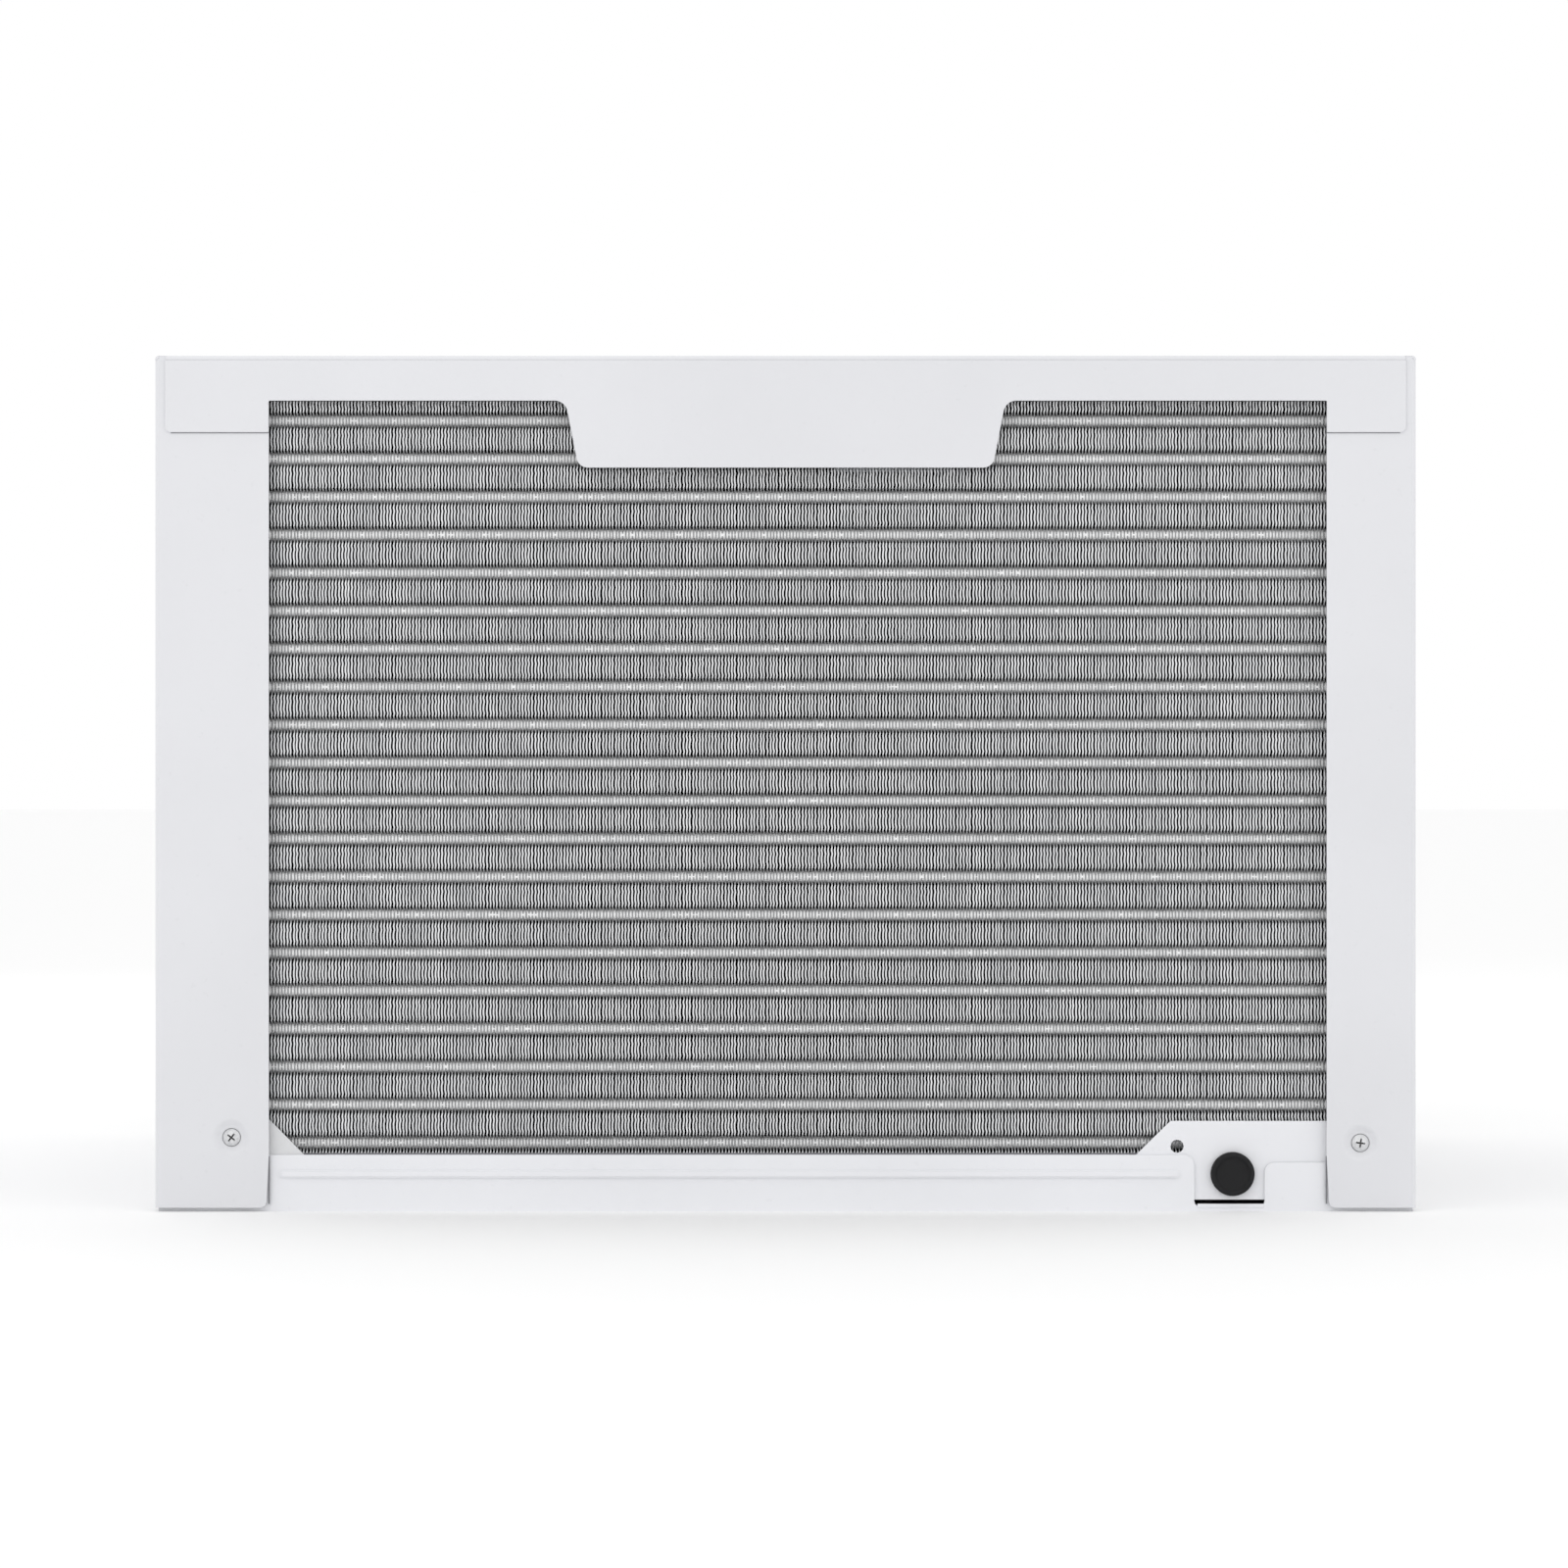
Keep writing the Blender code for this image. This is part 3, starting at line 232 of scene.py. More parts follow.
def edge_mask(tree, radius):
    """Near 1 on sharp edges: where the rounded normal leaves the true one."""
    bevel = add_node(tree, "ShaderNodeBevel", {"Radius": radius}, samples=4)
    geometry = tree.nodes.new("ShaderNodeNewGeometry")
    dot = add_node(tree, "ShaderNodeVectorMath", operation="DOT_PRODUCT")
    tree.links.new(bevel.outputs["Normal"], dot.inputs[0])
    tree.links.new(geometry.outputs["Normal"], dot.inputs[1])
    wear = add_node(tree, "ShaderNodeMapRange", {"From Min": 0.97, "From Max": 0.75})
    tree.links.new(dot.outputs["Value"], wear.inputs["Value"])
    return wear.outputs["Result"]


def depth_shade(tree, shallow, deep):
    """1 at a piece's open face, 0 further in: the mask that places painted shade deeper in."""
    split = tree.nodes.new("ShaderNodeSeparateXYZ")
    tree.links.new(own_place(tree), split.inputs["Vector"])
    made = add_node(tree, "ShaderNodeMapRange", {"From Min": deep, "From Max": shallow})
    tree.links.new(split.outputs["Y"], made.inputs["Value"])
    return made.outputs["Result"]


def mix_colour(tree, factor, first, second):
    made = add_node(tree, "ShaderNodeMix", data_type="RGBA")
    tree.links.new(factor, made.inputs["Factor"])
    for socket, value in ((made.inputs["A"], first), (made.inputs["B"], second)):
        if isinstance(value, tuple):
            socket.default_value = (*value, 1.0)
        else:
            tree.links.new(value, socket)
    return made.outputs["Result"]


def shaded(colour, by):
    return tuple(c * by for c in colour)


def surface(tree, shader, colour, rough, normal, metallic):
    """Joins up a shader; a uniform metallic value sits on its own socket."""
    for key, source in (("Base Color", colour), ("Roughness", rough), ("Normal", normal)):
        tree.links.new(source, shader.inputs[key])
    shader.inputs["Metallic"].default_value = metallic


def coated(name, colour, rough, grain_mm, grain_depth, wear=0.35, wear_colour=None, gloss=0.5):
    """Painted or moulded surface: grain bump, cloudy colour, uneven gloss and worn edges."""
    material, tree, shader = new_material(name)
    body = ramp(tree, noise(tree, 7.0, 4.0), 0.3, 0.7, shaded(colour, 0.97), shaded(colour, 1.018))
    speck = ramp(tree, noise(tree, 260.0, 2.0), 0.68, 0.76, BLACK, WHITE)
    body = mix_colour(tree, spread(tree, speck, 0.0, 0.10), body, shaded(colour, 0.72))
    patch = add_node(tree, "ShaderNodeMath", operation="MULTIPLY", use_clamp=True)
    tree.links.new(edge_mask(tree, 0.0007), patch.inputs[0])
    tree.links.new(spread(tree, noise(tree, 55.0, 4.0), -0.2, wear * 1.6), patch.inputs[1])
    body = mix_colour(tree, patch.outputs["Value"], body, wear_colour or shaded(colour, 0.82))
    gloss_map = spread(tree, noise(tree, 38.0, 5.0), rough - 0.06, rough + 0.08)
    wavy = bump(tree, noise(tree, 9.0, 1.0), 0.12, 0.0006)
    grain = bump(tree, noise(tree, 1000.0 / grain_mm, 2.0), grain_depth, 0.00006, wavy)
    surface(tree, shader, body, gloss_map, grain, 0.0)
    shader.inputs["Specular IOR Level"].default_value = gloss
    return material


def metal(name, colour, rough, stretch=(1.0, 1.0, 1.0), spangle=False, cloud=0.08):
    """Bare metal with drawn lines or zinc spangle, uneven gloss and slight tarnish."""
    material, tree, shader = new_material(name)
    lines = noise(tree, 420.0, 3.0, 0.6, stretch)
    if spangle:
        cells = add_node(tree, "ShaderNodeTexVoronoi", {"Scale": 90.0})
        tree.links.new(own_place(tree), cells.inputs["Vector"])
        grey = tree.nodes.new("ShaderNodeRGBToBW")
        tree.links.new(cells.outputs["Color"], grey.inputs["Color"])
        body = ramp(tree, grey.outputs["Val"], 0.1, 0.9, shaded(colour, 0.82), shaded(colour, 1.08))
    else:
        dull, bright = shaded(colour, 1.0 - cloud), shaded(colour, 1.0 + cloud / 2)
        body = ramp(tree, noise(tree, 22.0, 4.0), 0.3, 0.7, dull, bright)
    stain = ramp(tree, noise(tree, 60.0, 5.0), 0.62, 0.80, BLACK, WHITE)
    body = mix_colour(tree, spread(tree, stain, 0.0, 0.35), body, shaded(colour, 0.55))
    gloss_map = spread(tree, lines, rough - 0.08, rough + 0.12)
    surface(tree, shader, body, gloss_map, bump(tree, lines, 0.25, 0.00004), 1.0)
    return material


def foam_material(name, colour):
    """Moulded bead foam: round beads a few millimetres across, matt."""
    material, tree, shader = new_material(name)
    beads = add_node(tree, "ShaderNodeTexVoronoi", {"Scale": 320.0})
    tree.links.new(own_place(tree), beads.inputs["Vector"])
    hollow = beads.outputs["Distance"]
    # Painted shade: the colour darkens towards each bead's rim, in the dips between beads.
    body = ramp(tree, hollow, 0.1, 0.8, colour, shaded(colour, 0.86))
    rough = spread(tree, noise(tree, 30.0), 0.78, 0.95)
    surface(tree, shader, body, rough, bump(tree, hollow, -0.4, 0.0003), 0.0)
    return material


def depth_shaded_metal(name, span, bright, painted_shade_colours, scales, rough, bump_depth, metallic):
    """Bare metal, bright at its open face and darkened by painted shade between two depths."""
    material, tree, shader = new_material(name)
    bright_scale, shade_noise_scale, grain_scale = scales
    body = ramp(tree, noise(tree, bright_scale, 4.0), 0.3, 0.7, *bright)
    dark = ramp(tree, noise(tree, shade_noise_scale, 3.0), 0.35, 0.65, *painted_shade_colours)
    # Painted shade: deeper in along Y the dark colour takes over from the bright one.
    colour = mix_colour(tree, depth_shade(tree, *span), dark, body)
    gloss_map = spread(tree, noise(tree, 500.0), *rough)
    grain = bump(tree, noise(tree, grain_scale, 2.0), bump_depth, 0.00003)
    surface(tree, shader, colour, gloss_map, grain, metallic)
    return material


def fin_material(name, shallow, deep):
    """Thin bare aluminium, darkened between the fins by painted shade."""
    bright = ((0.70, 0.71, 0.725), (0.87, 0.875, 0.885))
    painted_shade_colours = ((0.016, 0.017, 0.018), (0.040, 0.040, 0.041))
    return depth_shaded_metal(name, (shallow, deep), bright, painted_shade_colours, (130.0, 18.0, 700.0), (0.34, 0.52), 0.15, 0.55)


def recessed_metal(name, shallow, deep):
    """Zinc plate, darkened by painted shade down in a recess."""
    bright = ((0.62, 0.63, 0.64), (0.78, 0.78, 0.79))
    recess_shade_colours = ((0.030, 0.030, 0.032), (0.10, 0.10, 0.10))
    return depth_shaded_metal(name, (shallow, deep), bright, recess_shade_colours, (300.0, 600.0, 900.0), (0.28, 0.46), 0.2, 0.75)


def collar_material():
    """Aluminium collars butted along the tube: a groove at every fin, and painted shade down their sides."""
    material, tree, shader = new_material("fin_collars")
    bands = {"Scale": 1.0 / FIN_PITCH / 20.0 * 2 * pi, "Distortion": 0.0}
    wave = add_node(tree, "ShaderNodeTexWave", bands, wave_type="BANDS", bands_direction="X")
    tree.links.new(own_place(tree), wave.inputs["Vector"])
    groove = wave.outputs["Fac"]
    body = ramp(tree, noise(tree, 60.0, 4.0), 0.3, 0.7, (0.93, 0.935, 0.94), WHITE)
    body = mix_colour(tree, spread(tree, groove, 0.15, 0.0), body, (0.78, 0.79, 0.80))
    # Painted shade: from a near-white front the collars darken to near black down their sides, standing in
    # for light falling off round the tube.
    top = ROW_Y[1] + COLLAR_RADIUS
    shade = depth_shade(tree, top - 0.0005, top - 0.0022)
    colour = mix_colour(tree, shade, (0.012, 0.012, 0.013), body)
    rough = spread(tree, noise(tree, 300.0), 0.30, 0.46)
    surface(tree, shader, colour, rough, bump(tree, groove, 0.3, 0.0002), 0.10)
    return material


MATERIALS = {
    "case_paint": coated("case_enamel", PAINT, 0.40, 1.3, 0.10),
    "pan_paint": coated("pan_enamel", PAN, 0.42, 1.3, 0.12),
    "galvanised": metal("zinc_sheet", (0.60, 0.62, 0.64), 0.42, spangle=True),
    "screw_steel": metal("zinc_plate", (0.70, 0.71, 0.73), 0.30),
    "fin_aluminium": metal("mill_aluminium", (0.80, 0.81, 0.82), 0.36, (1.0, 1.0, 0.08)),
    "copper": metal("drawn_copper", (0.72, 0.36, 0.21), 0.30, (0.1, 1.0, 1.0), cloud=0.2),
    "black_rubber": coated("moulded_rubber", (0.009, 0.009, 0.010), 0.70, 0.5, 0.25, 0.4, GREY_WEAR, 0.32),
    "black_enamel": coated("black_enamel", (0.020, 0.020, 0.022), 0.33, 1.6, 0.10, 0.6, CHIP_WEAR),
    "front_plastic": coated("front_moulding", FRONT, 0.46, 0.55, 0.22, 0.2),
    "grey_plastic": coated("grey_moulding", (0.33, 0.34, 0.36), 0.48, 0.55, 0.25, 0.3),
    "black_plastic": coated("black_moulding", (0.028, 0.028, 0.031), 0.45, 0.6, 0.25, 0.5, PALE_WEAR),
    "white_foam": foam_material("bead_foam", (0.80, 0.80, 0.78)),
    "filter_mesh": coated("filter_frame", (0.16, 0.19, 0.25), 0.55, 0.6, 0.25, 0.3),
    "board_green": coated("board_mask", (0.020, 0.13, 0.05), 0.36, 0.9, 0.15, 0.2),
    "smoked_window": coated("smoked_window", (0.012, 0.012, 0.014), 0.12, 3.0, 0.02, 0.1),
}
# Painted light: the gusset sits recessed and shaded behind the flange, so it gets its own copy of the pan
# coat with its brightness tuned to how it shows there.
GUSSET_PAINTED_LIGHT = coated("gusset_enamel_painted_light", (0.72, 0.725, 0.735), 0.42, 1.3, 0.12)
MARK_INK = coated("printed_mark", (0.10, 0.11, 0.12), 0.5, 0.8, 0.05, 0.1)


# ---- mesh helpers

def put(name, data):
    thing = bpy.data.objects.new(name, data)
    bpy.context.scene.collection.objects.link(thing)
    return thing


def mesh_from(name, bm, material):
    mesh = bpy.data.meshes.new(name)
    bm.to_mesh(mesh)
    bm.free()
    mesh.materials.append(material)
    return mesh


def round_edges(piece, width, angle, segments):
    rounding = piece.modifiers.new("rounding", "BEVEL")
    rounding.width = width
    rounding.segments = segments
    rounding.limit_method = "ANGLE"
    rounding.angle_limit = radians(angle)
    return rounding


def shade_evenly(piece, keep_sharp):
    for face in piece.data.polygons:
        face.use_smooth = True
    piece.modifiers.new("even_normals", "WEIGHTED_NORMAL").keep_sharp = keep_sharp


def make(
    name, bm, material, body="chassis", replaces=(), slot=None, smooth=True, bevel=0.0, angle=35.0, sharp=0.0,
):
    """A finished piece from a mesh in metres, riding on a body; slot is not used."""
    bmesh.ops.recalc_face_normals(bm, faces=bm.faces)
    named = isinstance(material, str)
    piece = put(name, mesh_from(name, bm, MATERIALS[material] if named else material))
    if bevel:
        round_edges(piece, bevel, angle, 2).miter_outer = "MITER_ARC"
    if smooth:
        shade_evenly(piece, True)
    if sharp:
        piece.data.set_sharp_from_angle(angle=radians(sharp))
    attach(piece, body)
    if replaces:
        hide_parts(*replaces)


def centre(box):
    low, high = box
    return tuple((a + b) / 2 for a, b in zip(low, high))


def join_rings(bm, first, second):
    """A band of four-sided faces between two closed rings of vertices."""
    count = len(first)
    for i in range(count):
        j = (i + 1) % count
        bm.faces.new((first[i], first[j], second[j], second[i]))


def ring_edges(bm, ring):
    """The edges round a closed ring, made where they are missing."""
    pairs = [(ring[i], ring[(i + 1) % len(ring)]) for i in range(len(ring))]
    return [bm.edges.get(pair) or bm.edges.new(pair) for pair in pairs]


def fill_between(bm, rings):
    """Fills the flat region inside the first ring and outside the others."""
    edges = [edge for ring in rings for edge in ring_edges(bm, ring)]
    bmesh.ops.triangle_fill(bm, use_beauty=True, use_dissolve=False, edges=edges, normal=(0, 1, 0))


def circle(x, y, z, radius, steps, start=0.0):
    """Points round a circle that faces along Y."""
    turns = [2 * pi * k / steps + start for k in range(steps)]
    return [(x + radius * cos(turn), y, z + radius * sin(turn)) for turn in turns]


def about(middle, half):
    return middle - half, middle + half


def inset(low, high, by):
    return low + by, high - by


def add_box(bm, xs, ys, zs):
    corners = [bm.verts.new((x, y, z)) for x in xs for y in ys for z in zs]
    for face in ((0, 1, 3, 2), (4, 6, 7, 5), (0, 4, 5, 1), (2, 3, 7, 6), (0, 2, 6, 4), (1, 5, 7, 3)):
        bm.faces.new([corners[i] for i in face])


def add_loft(bm, rings, closed=False):
    """Skins rings of equal length; each ring is a closed loop of points."""
    made = [[bm.verts.new(p) for p in ring] for ring in rings]
    pairs = list(zip(made, made[1:]))
    if closed:
        pairs.append((made[-1], made[0]))
    for a, b in pairs:
        join_rings(bm, a, b)
    if not closed:
        bm.faces.new(made[0][::-1])
        bm.faces.new(made[-1])


def add_prism(bm, outline, axis, low, high):
    """An outline drawn across an axis, carried along it from low to high."""
    def point(a, b, c):
        return (c, a, b) if axis == "X" else (a, c, b) if axis == "Y" else (a, b, c)

    add_loft(bm, [[point(a, b, end) for a, b in outline] for end in (low, high)])


def add_turned(bm, profile, axis, middle, steps):
    """A turned solid from (radius, along) points; a zero radius closes it, else it is a ring."""
    rings = []
    for radius, along in profile:
        ring = arc(middle, radius, 0, 360 - 360 / steps, steps - 1)[:steps if radius else 1]
        rings.append([bm.verts.new((a, b, along) if axis == "Z" else (a, along, b)) for a, b in ring])
    pairs = list(zip(rings, rings[1:]))
    if profile[0][0] != 0:
        pairs.append((rings[-1], rings[0]))
    for a, b in pairs:
        if len(a) == len(b):
            join_rings(bm, a, b)
            continue
        for i in range(steps):
            j = (i + 1) % steps
            bm.faces.new((a[0], b[i], b[j]) if len(a) == 1 else (a[i], a[j], b[0]))


def turned_piece(name, material, stands, profile, steps, axis="Z", body="chassis"):
    """A round piece in place of one node, turned about the middle line of that node's box."""
    x, y, z = centre(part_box(stands))
    bm = bmesh.new()
    add_turned(bm, profile, axis, (x, z) if axis == "Y" else (x, y), steps)
    make(name, bm, material, body=body, replaces=(stands,))


def oval(radius, base, rise, first, last, step):
    """Part of a domed end, as (radius, height) by whole degrees."""
    turns = [radians(turn) for turn in range(first, last, step)]
    return [(radius * cos(turn), base + rise * sin(turn)) for turn in turns]


def arc(middle, radius, first, last, steps):
    turns = [radians(first + (last - first) * i / steps) for i in range(steps + 1)]
    return [(middle[0] + radius * cos(turn), middle[1] + radius * sin(turn)) for turn in turns]


def rounded(points, radii, steps=5):
    """An outline with each corner filleted by its own radius."""
    count = len(points)
    result = []
    for i, point in enumerate(points):
        here = Vector(point)
        before = (Vector(points[i - 1]) - here).normalized()
        after = (Vector(points[(i + 1) % count]) - here).normalized()
        radius = radii[i] if isinstance(radii, (list, tuple)) else radii
        angle = before.angle(after)
        if radius <= 0 or angle > pi - 0.02:
            result.append(tuple(here))
            continue
        reach = radius / tan(angle / 2)
        start = here + before * reach
        end = here + after * reach
        pivot = here + (before + after).normalized() * (radius / sin(angle / 2))
        a, b = start - pivot, end - pivot
        for k in range(steps + 1):
            spot = a.lerp(b, k / steps)
            result.append(tuple(pivot + spot.normalized() * radius))
    return result


def smooth_path(points, radius, steps=6):
    """A path with its corners rounded, for bent tube."""
    points = [Vector(p) for p in points]
    result = [points[0]]
    for i in range(1, len(points) - 1):
        before = points[i - 1] - points[i]
        after = points[i + 1] - points[i]
        angle = before.angle(after)
        if angle > pi - 0.02:
            result.append(points[i])
            continue
        reach = min(radius / tan(angle / 2), before.length * 0.49, after.length * 0.49)
        start = points[i] + before.normalized() * reach
        end = points[i] + after.normalized() * reach
        for k in range(steps + 1):
            t = k / steps
            result.append(start * (1 - t) ** 2 + points[i] * 2 * t * (1 - t) + end * t * t)
    result.append(points[-1])
    return result


def add_tube(bm, path, radius, sides, up):
    """A round bar along a path, capped, with a frame carried along it."""
    points = [Vector(p) for p in path]
    section = arc((0.0, 0.0), radius, 0, 360 - 360 / sides, sides - 1)
    side = Vector(up)
    rings = []
    for i, point in enumerate(points):
        a = points[max(i - 1, 0)]
        b = points[min(i + 1, len(points) - 1)]
        tangent = (b - a).normalized()
        side = side - tangent * side.dot(tangent)
        if side.length < 1e-5:
            side = tangent.orthogonal()
        side.normalize()
        other = tangent.cross(side)
        rings.append([point + side * a + other * b for a, b in section])
    add_loft(bm, rings)


# ---- outdoor coil

def fin_places(low, high, pitch):
    """The X of every fin, centred between the coil's ends."""
    count = int((high[0] - low[0] - 0.002) / pitch)
    start = (low[0] + high[0]) / 2 - pitch * (count - 1) / 2
    return [start + i * pitch for i in range(count)]


def make_outdoor_fins():
    """Several hundred thin upright fins, each rippled between the tubes and dipping in to its collars."""
    low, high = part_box("condenser_fins")
    places = fin_places(low, high, FIN_PITCH)
    wander = Random(7)
    wave_below = [(-rise, dip, half, -wave) for rise, dip, half, wave in FIN_HALF_WAVE[::-1]]
    stations = [(low[2], 0.0, 0.0004, 0.0)]
    for tube in range(TUBE_COUNT):
        for rise, dip, half, wave in (FIN_JOIN, *wave_below, *FIN_HALF_WAVE):
            z = FIRST_TUBE + tube * TUBE_PITCH + rise
            if low[2] + 0.0002 < z < high[2] - 0.0002:
                stations.append((z, dip, half, wave))
    stations.append((high[2], 0.0, 0.0004, 0.0))
    # Painted shade: the fins darken from 1.6 mm to 6.2 mm behind their faces.
    coat = fin_material("outdoor_fin_edges", FIN_FACE - 0.0016, FIN_FACE - 0.0062)
    for group in range(FIN_GROUPS):
        bm = bmesh.new()
        for x in places[len(places) * group // FIN_GROUPS:len(places) * (group + 1) // FIN_GROUPS]:
            lean = wander.uniform(-0.00012, 0.00012)
            rings = []
            for z, dip, half, wave in stations:
                sway = wave * (0.00022 + wander.uniform(-0.00010, 0.00010)) + lean
                y = FIN_FACE - dip - wander.uniform(0.0, 0.0003)
                rings.append(((x + sway - half, y, z), (x, FIN_BACK, z), (x + sway + half, y, z)))
            add_loft(bm, rings)
        stands = ("condenser_fins",) if group == 0 else ()
        make(f"outdoor_fins_{group + 1}", bm, coat, replaces=stands, slot="fin_aluminium", smooth=False)


def coil_runs(first, pitch, count, rows):
    outer = [(rows[1], first + pitch * i) for i in range(count)]
    inner = [(rows[0], first + pitch * (i + 0.5)) for i in range(count - 1)]
    return inner, outer


def hairpin_path(runs, first_x, last_x, steps=10):
    path = []
    ends = (first_x, last_x)
    for i, (y, z) in enumerate(runs):
        near, far = ends if i % 2 == 0 else ends[::-1]
        outward = 1.0 if far > near else -1.0
        path.append((near, y, z))
        path.append((far, y, z))
        if i + 1 < len(runs):
            ny, nz = runs[i + 1]
            half = Vector((0.0, (ny - y) / 2, (nz - z) / 2))
            middle = Vector((far, (y + ny) / 2, (z + nz) / 2))
            for k in range(1, steps):
                turn = pi * k / steps
                reach = min(half.length, 0.0095)
                path.append(middle - half * cos(turn) + Vector((outward * reach * sin(turn), 0, 0)))
    return path


def make_outdoor_tubes():
    low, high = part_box("condenser_fins")
    inner, outer = coil_runs(FIRST_TUBE, TUBE_PITCH, TUBE_COUNT, ROW_Y)
    path = hairpin_path(inner[::-1] + outer, high[0] + TUBE_REACH, low[0] - TUBE_REACH)
    bm = bmesh.new()
    add_tube(bm, path, TUBE_RADIUS, 14, (0, 0, 1))
    make("outdoor_tubes", bm, "copper", replaces=("condenser_tubes",))
    bore = TUBE_RADIUS + 0.0001
    section = ((bore, low[0]), (COLLAR_RADIUS, low[0]), (COLLAR_RADIUS, high[0]), (bore, high[0]))
    bm = bmesh.new()
    for y, z in outer + inner:
        rings = []
        for radius, x in section:
            rings.append([(x, a, b) for a, b in arc((y, z), radius, 0, 345, 23)])
        add_loft(bm, rings, closed=True)
    make("outdoor_collars", bm, collar_material(), slot="fin_aluminium")


# ---- cabinet

def holed_plate(bm, us, vs, holes, place, thick):
    """A closed plate on a grid of lines, less the cells whose middles lie in a hole."""
    def solid_cell(i, j):
        if not (0 <= i < len(us) - 1 and 0 <= j < len(vs) - 1):
            return False
        u, v = (us[i] + us[i + 1]) / 2, (vs[j] + vs[j + 1]) / 2
        return not any(a < u < b and c < v < d for a, b, c, d in holes)

    made = {}

    def corner(i, j, side):
        if (i, j, side) not in made:
            made[i, j, side] = bm.verts.new(place(us[i], vs[j], side * thick))
        return made[i, j, side]

    for i in range(len(us) - 1):
        for j in range(len(vs) - 1):
            if not solid_cell(i, j):
                continue
            ring = ((i, j), (i + 1, j), (i + 1, j + 1), (i, j + 1))
            bm.faces.new([corner(a, b, 0) for a, b in ring])
            bm.faces.new([corner(a, b, 1) for a, b in ring[::-1]])
            for k, beyond in enumerate(((i, j - 1), (i + 1, j), (i, j + 1), (i - 1, j))):
                if not solid_cell(*beyond):
                    a, b = ring[k], ring[(k + 1) % 4]
                    bm.faces.new((corner(*a, 0), corner(*a, 1), corner(*b, 1), corner(*b, 0)))


def slot_rows(low, count, pitch):
    return [(low + i * pitch, low + i * pitch + SLOT_WIDTH) for i in range(count)]


def pressed_louver(bm, first, last, hinge, place):
    """A louver pressed inwards under a slot: a curved lip with closed ends. place(u, v, depth)."""
    sections = []
    for i in range(15):
        share = i / 14
        u = first + (last - first) * share
        ease = sin(min(1.0, min(share, 1.0 - share) * 12.0) * pi / 2)
        front, back = [], []
        for k in range(6):
            t = k / 5
            v = hinge - (SLOT_WIDTH + 0.001) * t * 0.9
            depth = 0.0003 + SLOT_PRESS * ease * sin(t * pi / 2)
            front.append(place(u, v, depth))
            back.append(place(u, v, depth + 0.0009))
        sections.append(front + back[::-1])
    add_loft(bm, sections)


def slotted_sheet(bm, across, along, ends, slots, place):
    """A sheet with a row of slots between two ends, and a pressed louver under each."""
    us = [across[0], *ends, across[1]]
    vs = sorted([*along] + [v for pair in slots for v in pair])
    holed_plate(bm, us, vs, [(*ends, *pair) for pair in slots], place, SHEET)
    for pair in slots:
        pressed_louver(bm, *ends, pair[1], place)


def bend_section(a, b):
    """The quarter bend between two sheets whose outer faces stand at a and b."""
    middle = (a - BEND, b - BEND)
    return arc(middle, BEND, 0, 90, BEND_STEPS) + arc(middle, BEND - SHEET, 90, 0, BEND_STEPS)


def make_cabinet():
    low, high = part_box("cabinet")
    x1, y0, y1, z0, z1 = high[0], low[1], high[1], low[2], high[2]
    flange = y1 - SHEET
    side_slots = slot_rows(SIDE_SLOT_LOW, SIDE_SLOTS, SIDE_SLOT_PITCH)
    top_slots = slot_rows(TOP_SLOT_LOW, TOP_SLOTS, TOP_SLOT_PITCH)
    bm = bmesh.new()
    for sign in (-1.0, 1.0):
        def on_side(y, z, depth, sign=sign):
            return (sign * (x1 - depth), y, z)

        slotted_sheet(bm, (y0, flange - BEND), (z0, z1 - BEND), SIDE_SLOT_Y, side_slots, on_side)
        add_prism(bm, [(sign * a, b) for a, b in bend_section(x1, z1)], "Y", y0, flange)
        add_prism(bm, [(sign * a, b) for a, b in bend_section(x1, flange)], "Z", z0, z1 - BEND)

    def on_top(x, y, depth):
        return (x, y, z1 - depth)

    slotted_sheet(bm, (BEND - x1, x1 - BEND), (y0, y1 - BEND), TOP_SLOT_X, top_slots, on_top)
    add_prism(bm, bend_section(y1, z1), "X", TOP_BEND_INSET - x1, x1 - TOP_BEND_INSET)
    for sign in (-1.0, 1.0):
        corner = Matrix.Translation((sign * (x1 - BEND), flange - BEND, z1 - BEND))
        bmesh.ops.create_uvsphere(bm, u_segments=24, v_segments=12, radius=BEND, matrix=corner)
    make("cabinet_shell", bm, "case_paint", replaces=("cabinet",), sharp=40)
    make_side_flanges(flange, z0, x1)
    make_top_flange(y1, z1, x1)


def make_side_flanges(face, z0, x1):
    """Each flange is a pressed dish for its screw, with a flat plate filled in round it."""
    for side, sign in (("left", -1.0), ("right", 1.0)):
        x, z = SCREW_SPOTS[sign]
        inner, outer = OPENING_X[sign], sign * (x1 - BEND)
        outline = (
            (inner + sign * 0.0012, z0 + 0.0030), (inner, 0.0300), (inner, HIGH_FLANGE), (outer, HIGH_FLANGE),
            (outer, z0), (inner + sign * 0.0045, z0), (inner + sign * 0.0022, z0 + 0.0009),
        )
        bm = bmesh.new()
        skins = []
        for y in (face, face - SHEET):
            rings = []
            for radius, sink in DISH:
                rings.append([bm.verts.new(p) for p in circle(x, y - sink, z, radius, DISH_STEPS)])
            for a, b in zip(rings, rings[1:]):
                join_rings(bm, a, b)
            rim = [bm.verts.new((a, y, b)) for a, b in outline]
            fill_between(bm, (rim, rings[-1]))
            skins.append((rings[0], rim))
        for front, back in zip(*skins):
            join_rings(bm, front, back)
        make(f"cabinet_side_flange_{side}", bm, "case_paint", sharp=50)


